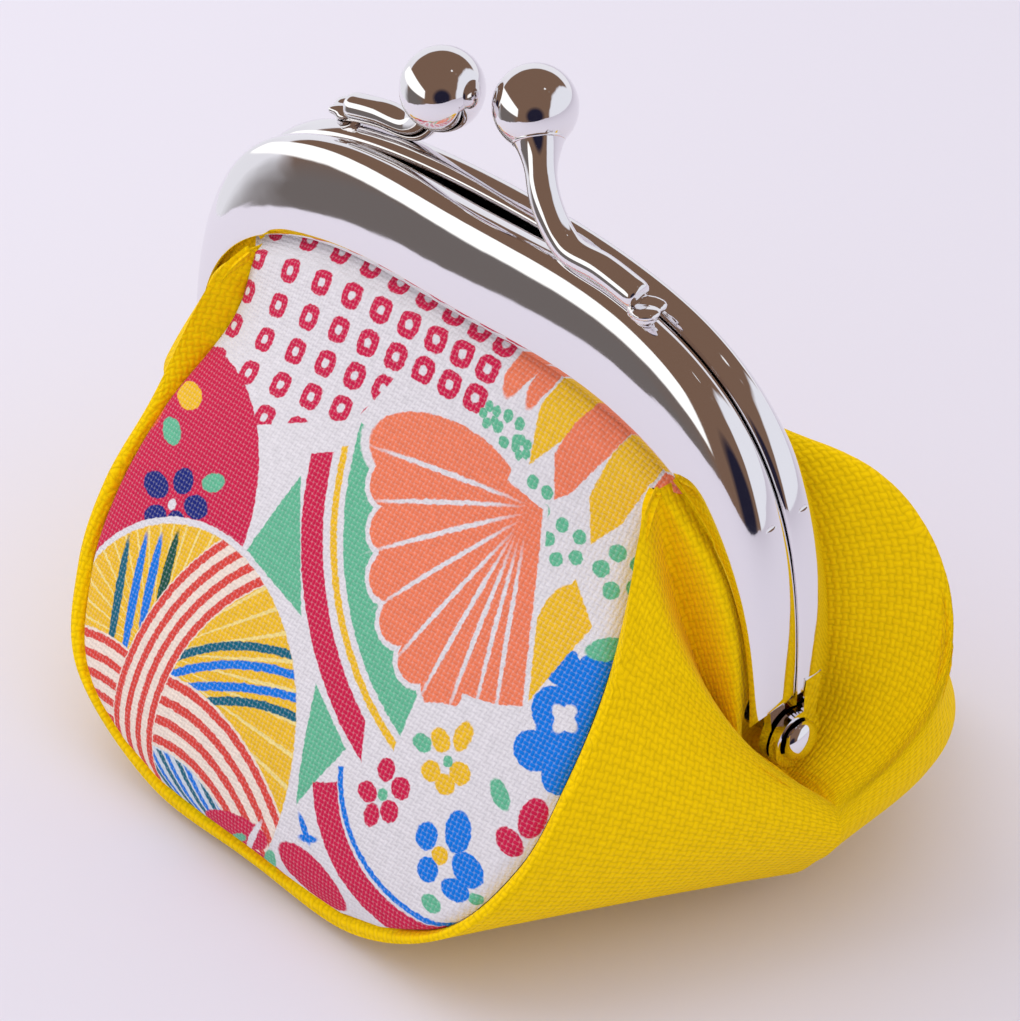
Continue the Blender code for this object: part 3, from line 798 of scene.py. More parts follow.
def leg_row(inset, foot_inset, depth, under):
    """A gusset row along both legs and round the hinge, through the given points under it."""
    insets = np.interp(LEG_SHARES, LEG_SHARES[:-4:-1], [foot_inset, (inset + foot_inset) / 2, inset])
    front = [leg_point(share * CORNER_RISE, add, depth) for share, add in zip(LEG_SHARES, insets)]
    front += under
    return front, other_side(front)


def gusset_guides():
    """The right half of the gusset as rows, each a front curve and a back curve."""
    rows = []
    for side, rise, share, lobe in GUSSET_ROWS:
        middle = np.array([side * FRAME_WIDTH / 2, 0.0, rise * HINGE_HEIGHT])
        if share is None:
            seam = seam_point(SEAM[-1][0]) * np.array([0, 1, 0.8])
        else:
            seam = seam_point(share)
        between = 0.5 * (seam + middle)
        bow = FRONT_BOW * LOBE if lobe else np.zeros(3)
        if not lobe:
            between[2] = 0.0
        front = [seam, between + bow, middle]
        back_seam = seam * np.array([1, -1, 1])
        out, aft, up = BACK_LEAN
        lean = np.array([out, aft * lobe, up * lobe])
        back_between = between * np.array([1, -1, 1]) + lobe * LOBE * lean
        rows.append((front, [middle, back_between, back_seam]))
    rows.append(([side_place(v) for v in RIDGE_FRONT], [side_place(v) for v in RIDGE_BACK]))
    rows.append(([side_place(v) for v in WALL_FRONT], [side_place(v) for v in WALL_BACK]))
    inside = ear_ranges()[0][0] - HINGE_CLEARANCE - RIVET_HEAD_HEIGHT - 3 * CLOTH_GAP
    below = HINGE_HEIGHT - EAR_RADIUS
    around = [
        np.array([FRAME_WIDTH / 2 - FOOT_INSET, -CHANNEL_WIDTH - FOOT_REACH, HINGE_HEIGHT]),
        np.array([FRAME_WIDTH / 2 - UNDER_INSET, 0.0, below - UNDER_DROP]),
    ]
    rows.append(leg_row(RIM_CLEARANCE, RIM_CLEARANCE, CHANNEL_WIDTH + RIM_CLEARANCE, around))
    tuck = cloth_depth()
    exits = [
        np.array([inside, -EXIT_REACH, HINGE_HEIGHT - EXIT_DROP]),
        np.array([inside, 0.0, below - EXIT_DROP]),
    ]
    rows.append(leg_row(RIM_CLEARANCE, 1.4 * RIM_CLEARANCE, tuck, exits))
    held = [
        np.array([inside, -HELD_REACH, HINGE_HEIGHT + HELD_RISE]),
        np.array([inside, 0.0, below + HELD_RISE]),
    ]
    rows.append(leg_row(-RIM_CLEARANCE, 1.2 * RIM_CLEARANCE, tuck - 0.2 * MM, held))
    return rows


def fold_rows(guides):
    rows = []
    for front, back in guides:
        ahead = even_curve(front, FRONT_COLUMNS)
        behind = even_curve(back, BACK_COLUMNS)
        rows.append(np.vstack([ahead, behind[1:]]))
    return rows


def gusset_half():
    """The right half of the gusset, from the middle of the floor to the frame."""
    rows = np.array(fold_rows(gusset_guides()))
    columns = [catmull_rom(rows[:, j], GUSSET_STEPS) for j in range(rows.shape[1])]
    return np.stack(columns, axis=1)


def panel_rows(setback):
    """A front panel: rows from inside the channel down to the bottom seam."""
    low_share = SEAM[-1][0]
    shares = np.linspace(1.0, LOWEST_SHARE + 0.005, PANEL_ROWS)
    shares = np.concatenate([shares, np.linspace(LOWEST_SHARE, low_share, LOWEST_ROWS)])
    across = np.linspace(-1, 1, PANEL_COLUMNS + 1)
    corner = seam_point(1.0)[0] - setback
    guides = []
    held = ((PANEL_TUCK_SHARE, PANEL_TUCK_SLACK, 0.0), (0.0, PANEL_RIM_SLACK, PANEL_RIM_DIP))
    for depth, slack, dip in held:
        face = cloth_depth() - slack
        row = []
        for u in across:
            x = u * (corner + PANEL_CORNER_REACH)
            rim = rim_height(x)
            z = rim + depth * (crest_height(x) - rim) - dip
            row.append((x, -HALF_PARTING - mouth_bow(x) - face, z + HINGE_HEIGHT))
        guides.append(row)
    for k, share in enumerate(shares):
        seam = seam_point(share)
        edge = seam[0] - setback
        middle = middle_point(np.interp(share, [low_share, 1.0], [PANEL_MIDDLE[-1][0], PANEL_MIDDLE[0][0]]))
        lift = setback * np.clip((LOWEST_SHARE - share) / (LOWEST_SHARE - low_share), 0, 1)
        crown = 1 - np.abs(across) ** PANEL_CROWN
        y = seam[1] + (middle[1] - seam[1]) * crown
        z = seam[2] + (middle[2] - seam[2]) * crown + lift
        guides.append(np.stack([across * edge, y, z], axis=1))
    guides = np.array(guides, float)
    top = catmull_rom(guides[:3], [4, 6])
    return np.concatenate([top, guides[3:]])


def running_length(grid, axis):
    """The distance travelled along an axis of the grid, from its first point."""
    steps = np.linalg.norm(np.diff(grid, axis=axis), axis=2)
    blank = np.zeros((1, grid.shape[1])) if axis == 0 else np.zeros((grid.shape[0], 1))
    return np.concatenate([blank, np.cumsum(steps, axis=axis)], axis=axis)


def rolled_panel():
    """The panel with its side and bottom edges turned in to the seam."""
    grid = panel_rows(SEAM_SETBACK)
    across = running_length(grid, 1)
    down = running_length(grid, 0)
    nearest = np.minimum(np.minimum(across, across[:, -1:] - across), down[-1:] - down)
    near = np.clip(1 - nearest / EDGE_REACH, 0, 1)
    fade = np.clip((np.arange(len(grid)) - TUCKED_ROWS) / 12, 0, 1)[:, None]
    drop = EDGE_DROP * near**2 * fade
    return grid - grid_normals(grid) * drop[:, :, None]


def sheet_mesh(name, grid, thickness, flat):
    """A closed sheet: the grid is its outer face. Its UV map is the flat cloth, in millimetres."""
    inner = grid - grid_normals(grid) * thickness
    rows, columns = grid.shape[:2]
    points = np.concatenate([grid.reshape(-1, 3), inner.reshape(-1, 3)])
    places = np.concatenate([flat.reshape(-1, 2), flat.reshape(-1, 2)]) / MM
    index = np.arange(rows * columns).reshape(rows, columns)
    a, b, c, d = index[:-1, :-1], index[1:, :-1], index[1:, 1:], index[:-1, 1:]
    outside = np.stack([a, b, c, d], axis=2).reshape(-1, 4)
    inside = outside[:, ::-1] + rows * columns
    ring = np.concatenate([index[0, :-1], index[:-1, -1], index[-1, :0:-1], index[:0:-1, 0]])
    follow = np.roll(ring, -1)
    wall = np.stack([ring, follow, follow + rows * columns, ring + rows * columns], axis=1)
    faces = np.concatenate([outside, inside, wall])
    mesh = bpy.data.meshes.new(name)
    mesh.from_pydata(points.tolist(), [], faces.tolist())
    uv = mesh.uv_layers.new(name="cloth")
    corners = np.empty(len(mesh.loops), np.int32)
    mesh.loops.foreach_get("vertex_index", corners)
    uv.data.foreach_set("uv", places[corners].astype(np.float32).ravel())
    mesh.shade_smooth()
    mesh.set_sharp_from_angle(angle=math.radians(60))
    return mesh


# The cloth pieces


def gusset_strip():
    """The strip from the right hinge round the bottom to the left hinge, front edge first."""
    right = gusset_half()
    grid = np.concatenate([right[::-1], right[1:] * MIRROR_X])
    row = np.arange(len(grid))
    from_end = np.minimum(row, row[::-1])[:, None]
    soft = np.interp(np.arange(grid.shape[1]), LOBE_COLUMNS, [0, 1]) * np.interp(from_end, LOBE_ROWS, [0, 1])
    grid += soft[:, :, None] * (smooth_grid(grid, LOBE_ROUNDS) - grid)
    grid[:, :, 2] = np.maximum(grid[:, :, 2], 0.0)
    return grid


def finer_line(line, count):
    """A line of points as count points at even steps of its index."""
    steps = np.linspace(0, len(line) - 1, count)
    return np.stack([np.interp(steps, np.arange(len(line)), line[:, k]) for k in range(3)], axis=1)


def seam_columns(edge):
    """Columns that carry the canvas over the front seam and in beside the panel's own edge."""
    panel = panel_rows(SEAM_SETBACK)
    normals = grid_normals(panel)
    lines = []
    for source in (panel, normals):
        border = [source[TUCKED_ROWS:, 0], source[-1, 1:-1], source[:TUCKED_ROWS:-1, -1]]
        lines.append(finer_line(np.concatenate(border), BORDER_POINTS))
    border, outward = lines
    nearest = np.argmin(np.linalg.norm(edge[:, None] - border[None], axis=2), axis=1)
    reach = border[nearest] - edge
    far = np.abs(np.arange(len(edge)) - len(edge) // 2)
    fade = np.interp(far, ROLL_ROWS, [1.0, 0.15])[:, None]
    guides = [edge]
    for share, lift in SEAM_ROLL:
        guides.append(edge + fade * (share * reach + lift * outward[nearest]))
    return catmull_rom(np.array(guides), [2] * len(SEAM_ROLL))[:0:-1].transpose(1, 0, 2)


def seamed_strip(strip):
    """The strip with its rolled seams added along both edges."""
    turned = strip[:, ::-1] * TURN_Z
    front = seam_columns(strip[:, 0])
    back = seam_columns(turned[:, 0])[:, ::-1] * TURN_Z
    return np.concatenate([front, strip, back], axis=1)


def blend_half(piece):
    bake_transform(piece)


def cloth_piece(name, grid, thickness, look, turn=None):
    """A finished sheet of cloth, turned by the given turn if there is one, with its transform baked."""
    flat = flat_pattern(grid)
    mesh = sheet_mesh(name, grid, thickness, flat)
    if turn:
        mesh.transform(turn)
    mesh.materials.append(look)
    made = add_object(name, mesh)
    blend_half(made)
    return made


def build_cloth(print_look, canvas_look, lining_look):
    panel = rolled_panel()
    lined = panel_rows(SEAM_SETBACK + CANVAS + LINING + CLOTH_GAP)
    lined = (lined - grid_normals(lined) * (CLOTH + 3 * CLOTH_GAP))[: -LOWEST_ROWS + 1 : 2, ::2]
    for half, turn in (("front", None), ("back", BACK_TURN)):
        name = f"{half}_panel_fine"
        made = cloth_piece(name, panel, CLOTH, print_look, turn)
        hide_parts(f"{half}_panel")
        name = f"{half}_lining_fine"
        made = cloth_piece(name, lined, LINING, lining_look, turn)
        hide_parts(f"{half}_lining")
    strip = gusset_strip()
    seamed = seamed_strip(strip)
    middle = FRONT_COLUMNS + seamed.shape[1] // 2 - strip.shape[1] // 2
    rows = sum(GUSSET_STEPS[:LINED_STEPS])
    centre = len(strip) // 2
    inner = (strip - grid_normals(strip) * (CANVAS + CLOTH_GAP))[centre - rows : centre + rows + 1, 1:-1]
    parts = {"front": np.s_[:, : middle + 1], "back": np.s_[:, middle:]}
    inner_parts = {"front": np.s_[::2, :FRONT_COLUMNS], "back": np.s_[::2, FRONT_COLUMNS - 1 :]}
    for half in ("front", "back"):
        grid = seamed[parts[half]]
        name = f"{half}_gusset_fine"
        made = cloth_piece(name, grid, CANVAS, canvas_look)
        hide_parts("gusset")
        grid = inner[inner_parts[half]]
        name = f"{half}_gusset_lining_fine"
        made = cloth_piece(name, grid, LINING, lining_look)
        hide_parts("gusset_lining")


# The materials


def linear(red, green, blue):
    """A colour given as 0 to 255 display values, for a shader socket."""
    made = []
    for value in (red, green, blue):
        share = value / 255
        made.append(share / 12.92 if share <= 0.04045 else ((share + 0.055) / 1.055) ** 2.4)
    return (*made, 1.0)


WHITE = linear(232, 229, 232)
CRIMSON = linear(212, 32, 78)
CORAL = linear(247, 132, 94)
ORANGE = linear(232, 88, 40)
RED = linear(226, 72, 62)
CREAM = linear(248, 230, 214)
YELLOW = linear(246, 196, 40)
PALE_YELLOW = linear(250, 226, 140)
GREEN = linear(104, 192, 152)
BLUE = linear(10, 124, 230)
PALE_BLUE = linear(214, 226, 236)
NAVY = linear(26, 40, 126)
TEAL = linear(16, 104, 128)
DARK_GREEN = linear(22, 86, 70)
CANVAS_COLOUR = linear(255, 212, 2)
LINING_COLOUR = linear(226, 220, 206)
METAL_COLOUR = linear(240, 238, 240)
FLOOR_COLOUR = linear(228, 225, 234)
WORLD_LIGHT = (0.79, 0.765, 0.805, 1.0)

# What the bright metal mirrors: direction, reach in degrees, softness, colour.
REFLECTIONS = [
    ((0.516, -0.518, 0.683), 105.0, 0.04, linear(122, 96, 80)),
    ((-0.93, -0.10, -0.35), 31.0, 0.06, linear(236, 236, 242)),
    ((-0.50, -0.80, -0.33), 27.0, 0.12, linear(112, 105, 103)),
    ((0.70, -0.70, 0.09), 22.0, 0.06, linear(34, 32, 50)),
    ((0.796, 0.605, -0.015), 44.6, 0.05, linear(236, 238, 246)),
    ((0.444, 0.321, 0.836), 5.0, 0.003, linear(255, 255, 255)),
]
STRIP_SIDES = [
    ((-0.690, -0.844, -1.0), 0.56),
    ((0.184, 0.225, 1.0), -0.30),
]
STRIP_SOFT = 0.03
STRIP_WAY = (-0.707, -0.66, 0.0)
STRIP_REACH = 47.0
STRIP_COLOUR = (1.25, 1.25, 1.22, 1.0)
# The ground's edges, as directions across it and distances.
FLOOR_EDGES = [
    ((-0.826, -0.564, 0.0), 0.142),
    ((-0.197, -0.980, 0.0), 0.282),
]

LEFT_THREADS = [
    ((-26.6, 42.0), (-23.2, 54.0), 1.3, TEAL),
    ((-24.3, 40.4), (-21.0, 53.4), 1.3, BLUE),
    ((-22.2, 39.6), (-19.8, 50.0), 1.3, BLUE),
    ((-20.2, 38.2), (-18.4, 48.0), 1.3, DARK_GREEN),
]
RIGHT_THREADS = [
    (6.3, 71.1, 29.8, TEAL),
    (9.0, 77.6, 35.0, BLUE),
    (15.9, 95.4, 51.9, BLUE),
    (7.1, 75.1, 28.4, TEAL),
]
PALE_BALL_YELLOW = [
    (19.2, 40.9, 2.5, 2.0, 30),
    (21.2, 39.4, 1.9, 3.0, 0),
    (22.4, 42.7, 2.4, 2.2, 0),
    (21.4, 44.4, 2.2, 2.0, 0),
    (19.5, 44.0, 2.2, 2.0, -20),
]
PALE_BALL_CRIMSON = [
    (15.0, 46.3, 2.0, 2.3, 0),
    (17.2, 47.1, 2.2, 2.2, 0),
    (16.9, 49.7, 2.1, 2.2, 0),
    (15.2, 51.0, 1.8, 2.4, 0),
    (13.9, 49.2, 2.3, 2.0, 0),
]
PALE_BALL_BLUE = [
    (24.5, 47.8, 2.8, 4.2, -15),
    (21.6, 49.8, 2.4, 2.8, 0),
    (22.9, 52.7, 2.4, 2.4, 0),
    (26.8, 50.6, 3.8, 3.0, 20),
    (26.3, 53.0, 3.2, 2.2, -10),
]
RIM_PETALS = [
    (((14.3, 3.0), (19.2, 3.0), (18.0, 9.4), (15.3, 13.9), (14.0, 9.0)), YELLOW),
    (((18.6, 5.0), (21.0, 2.0), (23.2, 3.0), (22.6, 8.4), (20.4, 14.0), (19.1, 15.4), (17.3, 11.6)), CORAL),
    (((22.8, 7.0), (23.4, 3.0), (27.2, 3.0), (27.3, 8.4), (26.0, 14.0), (24.1, 17.2), (22.2, 13.2)), YELLOW),
    (((27.6, 6.0), (30.0, 6.0), (29.0, 15.6), (27.7, 11.4)), CORAL),
]
SPRIGS = [
    (17.2, 16.4, 1.5, 0.65),
    (17.4, 19.6, 1.1, 0.8),
    (21.8, 18.5, 1.7, 0.7),
    (27.8, 18.2, 1.9, 0.85),
    (11.9, 12.2, 1.3, 0.6),
    (13.9, 13.0, 0.7, 0.5),
    (9.3, 12.0, 0.8, 0.5),
]


def new_material(name, roughness, metallic=0.0):
    look = bpy.data.materials.new(name)
    look.use_nodes = True
    surface = look.node_tree.nodes["Principled BSDF"]
    surface.inputs["Roughness"].default_value = roughness
    surface.inputs["Metallic"].default_value = metallic
    return look, surface


class Plan:
    """Layers of colour over a piece of cloth, drawn as simple shapes with measures in millimetres."""

    def __init__(self, tree, ground):
        self.tree = tree
        self.colour = ground
        if ground:
            self.move_to(self.add("ShaderNodeUVMap", {}, uv_map="cloth"))

    def move_to(self, place):
        self.place = place
        self.u = self.add("ShaderNodeSeparateXYZ", {0: place})
        self.v = self.add("ShaderNodeSeparateXYZ", {0: place}, 1)

    def add(self, kind, inputs, output=0, **settings):
        node = self.tree.nodes.new(kind)
        for name, value in settings.items():
            setattr(node, name, value)
        for key, value in inputs.items():
            if isinstance(value, bpy.types.NodeSocket):
                self.tree.links.new(value, node.inputs[key])
            else:
                node.inputs[key].default_value = value
        return node if output is None else node.outputs[output]

    def number(self, operation, *values, clamp=False):
        return self.add("ShaderNodeMath", dict(enumerate(values)), operation=operation, use_clamp=clamp)

    def vector(self, operation, *values):
        output = 1 if operation in ("DISTANCE", "LENGTH", "DOT_PRODUCT") else 0
        return self.add("ShaderNodeVectorMath", dict(enumerate(values)), output, operation=operation)

    def noise(self, place, scale, detail=2.0, output=0):
        inputs = {"Vector": place, "Scale": scale, "Detail": detail}
        return self.add("ShaderNodeTexNoise", inputs, output)

    def mix(self, share, first, second):
        return self.add("ShaderNodeMix", {0: share, 6: first, 7: second}, 2, data_type="RGBA")

    def from_point(self, u, v):
        return self.vector("DISTANCE", self.place, (u, v, 0.0))

    def disc(self, u, v, radius):
        return self.number("SUBTRACT", radius, self.from_point(u, v))

    def band(self, u, v, radius, width):
        """An arc of this width, at this radius from a point."""
        off = self.number("SUBTRACT", self.from_point(u, v), radius)
        return self.number("SUBTRACT", width / 2, self.number("ABSOLUTE", off))

    def oval(self, u, v, length, width, degrees=0.0):
        inputs = {
            "Vector": self.place,
            "Location": (u, v, 0.0),
            "Rotation": (0.0, 0.0, math.radians(degrees)),
            "Scale": (length * OVAL_REACH / 2, width * OVAL_REACH / 2, 1.0),
        }
        local = self.add("ShaderNodeMapping", inputs, vector_type="TEXTURE")
        inside = self.add("ShaderNodeTexGradient", {0: local}, 1, gradient_type="SPHERICAL")
        half = min(length, width) / 2
        return self.number("MULTIPLY_ADD", inside, half * OVAL_REACH, half * (1 - OVAL_REACH))

    def stroke(self, start, end, width):
        """A thin pointed line between two points."""
        run = (end[0] - start[0], end[1] - start[1])
        middle = ((start[0] + end[0]) / 2, (start[1] + end[1]) / 2)
        return self.oval(*middle, math.hypot(*run), width, math.degrees(math.atan2(run[1], run[0])))

    def side(self, u, v, degrees):
        """Positive on the side of a point that lies in this direction."""
        way = (math.cos(math.radians(degrees)), math.sin(math.radians(degrees)))
        along = self.number("MULTIPLY_ADD", self.u, way[0], -u * way[0] - v * way[1])
        return self.number("MULTIPLY_ADD", self.v, way[1], along)

    def corner_shape(self, *corners):
        """A straight-sided shape through its corners, in the order that turns from U to V."""
        sides = []
        for a, b in zip(corners, corners[1:] + corners[:1]):
            sides.append(self.side(*a, math.degrees(math.atan2(b[1] - a[1], b[0] - a[0])) + 90))
        return self.both(*sides)

    def both(self, *fields):
        made = fields[0]
        for field in fields[1:]:
            made = self.number("MINIMUM", made, field)
        return made

    def either(self, *fields):
        made = fields[0]
        for field in fields[1:]:
            made = self.number("MAXIMUM", made, field)
        return made

    def wider(self, field, extra):
        return self.number("ADD", field, extra)

    def without(self, field, other):
        return self.number("MINIMUM", field, self.number("MULTIPLY", other, -1.0))

    def ripple(self, measure, start, pitch, share):
        """Stripes across a measure: one line each pitch from start, this share of it wide."""
        turns = self.number("MULTIPLY_ADD", measure, 2 * math.pi / pitch, -2 * math.pi * start / pitch)
        limit = math.cos(math.pi * share)
        past_limit = self.number("SUBTRACT", self.number("COSINE", turns), limit)
        return self.number("MULTIPLY", past_limit, pitch / 6)

    def rays(self, u, v, count, share):
        """Thin lines that leave a point in even directions."""
        angle = self.number("ARCTAN2", self.number("SUBTRACT", self.v, v), self.number("SUBTRACT", self.u, u))
        turns = self.number("MULTIPLY", angle, float(count))
        return self.number("SUBTRACT", self.number("COSINE", turns), math.cos(math.pi * share))

    def paint(self, colour, field):
        share = self.number("MULTIPLY_ADD", field, 1 / PRINT_EDGE, 0.5, clamp=True)
        self.colour = self.mix(share, self.colour, colour)

    def weave(self, pitch):
        """The height of a plain weave, from 0 between threads to 1 on top of one."""
        across = self.number("SINE", self.number("MULTIPLY", self.u, math.pi / pitch))
        along = self.number("SINE", self.number("MULTIPLY", self.v, math.pi / pitch))
        over = self.number("MULTIPLY", across, along)
        warp = self.number("MULTIPLY", self.number("ABSOLUTE", across), self.number("ADD", over, 1.0))
        weft = self.number("MULTIPLY", self.number("ABSOLUTE", along), self.number("SUBTRACT", 1.0, over))
        return self.number("MULTIPLY", self.number("MAXIMUM", warp, weft), 0.5)


def paint_rings(plan):
    """The field of small hollow squares, which crowd together towards the right."""
    u = plan.number("SUBTRACT", plan.u, RING_START[0])
    column = plan.number("MULTIPLY", u, plan.number("MULTIPLY_ADD", u, RING_COLUMNS[1], RING_COLUMNS[0]))
    width = plan.number("DIVIDE", 1.0, plan.number("MULTIPLY_ADD", u, 2 * RING_COLUMNS[1], RING_COLUMNS[0]))
    v = plan.number("MULTIPLY_ADD", u, RING_LEAN, plan.number("SUBTRACT", plan.v, RING_START[1]))
    height = plan.number("MULTIPLY_ADD", u, RING_ROWS[1], RING_ROWS[0])
    row = plan.number("DIVIDE", v, height)
    raised = []
    for index, pitch in ((column, width), (row, height)):
        off = plan.number("SUBTRACT", index, plan.number("ROUND", index))
        far = plan.number("ABSOLUTE", plan.number("MULTIPLY", off, pitch))
        raised.append(plan.number("POWER", far, 3.0))
    far = plan.number("POWER", plan.number("ADD", *raised), 1 / 3)
    off = plan.number("ABSOLUTE", plan.number("SUBTRACT", far, RING_RADIUS))
    ring = plan.number("SUBTRACT", RING_WIDTH / 2, off)
    low = plan.both(plan.side(3.0, 15.5, 245), plan.side(-5.5, 20.0, 205))
    limit = plan.either(low, plan.side(-2.0, 12.9, 270))
    plan.paint(CRIMSON, plan.both(ring, limit, plan.side(8.4, 5.0, 180)))


def paint_flower(plan, petals, colour, centre=None, middle=None):
    plan.paint(colour, plan.either(*[plan.oval(*petal) for petal in petals]))
    if centre:
        plan.paint(middle, plan.disc(*centre))


def paint_fan_flower(plan):
    """The large coral chrysanthemum, cut below by the pale ball."""
    whole = [plan.oval(17.6, 20.6, 33.0, 31.6, 0), plan.oval(6.6, 18.6, 18.6, 8.6, -6)]
    ends = [plan.disc(u, v, radius) for u, v, radius in FAN_ENDS]
    limits = [plan.side(15.0, 17.2, 100), plan.side(21.4, 24.3, 158), plan.side(14.4, 20.0, 172)]
    inner = plan.both(plan.disc(17.4, 20.4, 15.6), plan.side(14.2, 16.4, 96), plan.side(21.6, 24.6, 158))
    bloom = plan.either(inner, plan.both(whole[1], limits[2]), *ends)
    bloom = plan.without(bloom, plan.disc(*PALE_BALL))
    plan.paint(WHITE, plan.wider(bloom, 0.55))
    plan.paint(CORAL, bloom)
    strokes = [plan.stroke(start, end, 0.5) for start, end in FAN_LINES]
    plan.paint(WHITE, plan.either(*strokes))


def paint_arcs(plan):
    """The bands that curve round the chrysanthemum."""
    u, v = ARC_CENTRE
    span = plan.both(plan.side(-5.0, 22.0, 62), plan.side(14.2, 40.4, 168))
    crescent = plan.both(plan.disc(u, v, 32.6), plan.side(-3.0, 19.0, 82), plan.side(15.0, 38.0, 180))
    plan.paint(GREEN, crescent)
    plan.paint(YELLOW, plan.both(plan.band(u, v, 33.75, 0.8), span))
    ends = plan.both(plan.side(-6.0, 23.0, 62), plan.side(11.2, 44.6, 160))
    plan.paint(CRIMSON, plan.both(plan.band(u, v, 36.4, 2.7), ends))


def paint_left(plan):
    """The crimson field with its small flowers."""
    plan.paint(CRIMSON, plan.disc(-28.0, 37.0, 16.8))
    plan.paint(ORANGE, plan.oval(-31.0, 22.3, 3.4, 2.0, 10))
    paint_flower(plan, [(-27.7, 25.9, 4.4, 2.8, 5), (-32.0, 26.0, 3.0, 2.4, 0)], YELLOW)
    plan.paint(ORANGE, plan.oval(-31.3, 29.8, 2.2, 3.0, 0))
    petals = [(-26.0, 35.6, 4.2, 2.6, 0), (-22.5, 33.6, 3.0, 2.8, 0), (-19.3, 35.1, 3.6, 2.4, -10)]
    petals += [(-20.8, 37.8, 3.4, 2.6, 20), (-24.2, 38.3, 3.4, 2.2, -20)]
    paint_flower(plan, petals, NAVY, (-22.6, 36.3, 0.6), WHITE)
    paint_flower(plan, [(-27.5, 30.0, 3.8, 2.3, 20), (-18.5, 32.0, 3.2, 2.0, -25)], GREEN)


def paint_thread_ball(plan):
    """The large ball wound with coloured threads."""
    ball = plan.disc(-13.8, 55.0, 18.7)
    plan.paint(WHITE, plan.wider(ball, 0.7))
    plan.paint(YELLOW, ball)
    plan.paint(PALE_YELLOW, plan.both(ball, plan.rays(-17.4, 50.5, 44, 0.16)))
    for start, end, width, colour in LEFT_THREADS:
        plan.paint(colour, plan.both(ball, plan.stroke(start, end, width)))
    for u, v, radius, colour in RIGHT_THREADS:
        thread = plan.band(u, v, radius, 0.85)
        plan.paint(colour, plan.both(thread, ball, plan.side(-15.0, 50.0, 0), plan.side(-6.0, 52.0, -95)))
    from_low = plan.from_point(-10.0, 72.0)
    low = plan.both(plan.number("SUBTRACT", 21.3, from_low), plan.side(-15.5, 50.0, 0), ball)
    plan.paint(PALE_BLUE, plan.both(low, plan.number("SUBTRACT", 13.4, from_low)))
    sloping = plan.side(0.0, 0.0, 130)
    for start, colour in ((0.0, BLUE), (0.9, TEAL)):
        lines = plan.ripple(sloping, start, 2.2, 0.3)
        plan.paint(colour, plan.both(low, lines, plan.number("SUBTRACT", 13.2, from_low)))
    band = plan.both(low, plan.number("SUBTRACT", from_low, 13.4))
    plan.paint(CREAM, band)
    plan.paint(RED, plan.both(band, plan.ripple(from_low, 20.5, 2.1, 0.46)))
    from_left = plan.from_point(-21.0, 75.0)
    left = plan.both(plan.number("SUBTRACT", 23.2, from_left), plan.side(-18.5, 50.0, 180), ball)
    plan.paint(CREAM, left)
    plan.paint(RED, plan.both(left, plan.ripple(from_left, 22.5, 1.9, 0.46)))
    from_side = plan.from_point(*UPRIGHT_CENTRE)
    off = plan.number("ABSOLUTE", plan.number("SUBTRACT", from_side, UPRIGHT_RADIUS))
    upright = plan.both(plan.number("SUBTRACT", 3.3, off), ball)
    plan.paint(CREAM, upright)
    lines = plan.ripple(from_side, UPRIGHT_RADIUS + 0.9, 1.8, 0.5)
    plan.paint(RED, plan.both(upright, lines))


def paint_pale_ball(plan):
    """The white ball with its small flowers, and the bands round it."""
    plan.paint(GREEN, plan.corner_shape((3.8, 43.0), (9.9, 46.8), (6.4, 54.6)))
    plan.paint(WHITE, plan.disc(*PALE_BALL))
    under = plan.side(9.0, 50.8, 62)
    plan.paint(CRIMSON, plan.both(plan.band(22.0, 45.5, 14.1, 3.1), under))
    plan.paint(BLUE, plan.both(plan.band(22.6, 44.3, 13.2, 0.6), plan.side(8.8, 49.0, 70)))
    paint_flower(plan, PALE_BALL_YELLOW, YELLOW, (20.8, 42.3, 0.55), GREEN)
    paint_flower(plan, PALE_BALL_CRIMSON, CRIMSON, (15.6, 48.6, 0.6), GREEN)
    paint_flower(plan, PALE_BALL_BLUE, BLUE, (23.6, 50.8, 0.9), YELLOW)
    leaves = [(17.5, 42.1, 2.2, 1.7, 0), (27.0, 42.4, 3.2, 1.7, 40), (24.4, 55.5, 2.3, 1.7, 0)]
    paint_flower(plan, leaves + [(28.6, 52.8, 1.5, 1.3, 0)], GREEN)
    paint_flower(plan, [(30.8, 42.8, 2.7, 4.2, 0), (29.6, 46.0, 3.2, 2.4, 20)], CRIMSON)


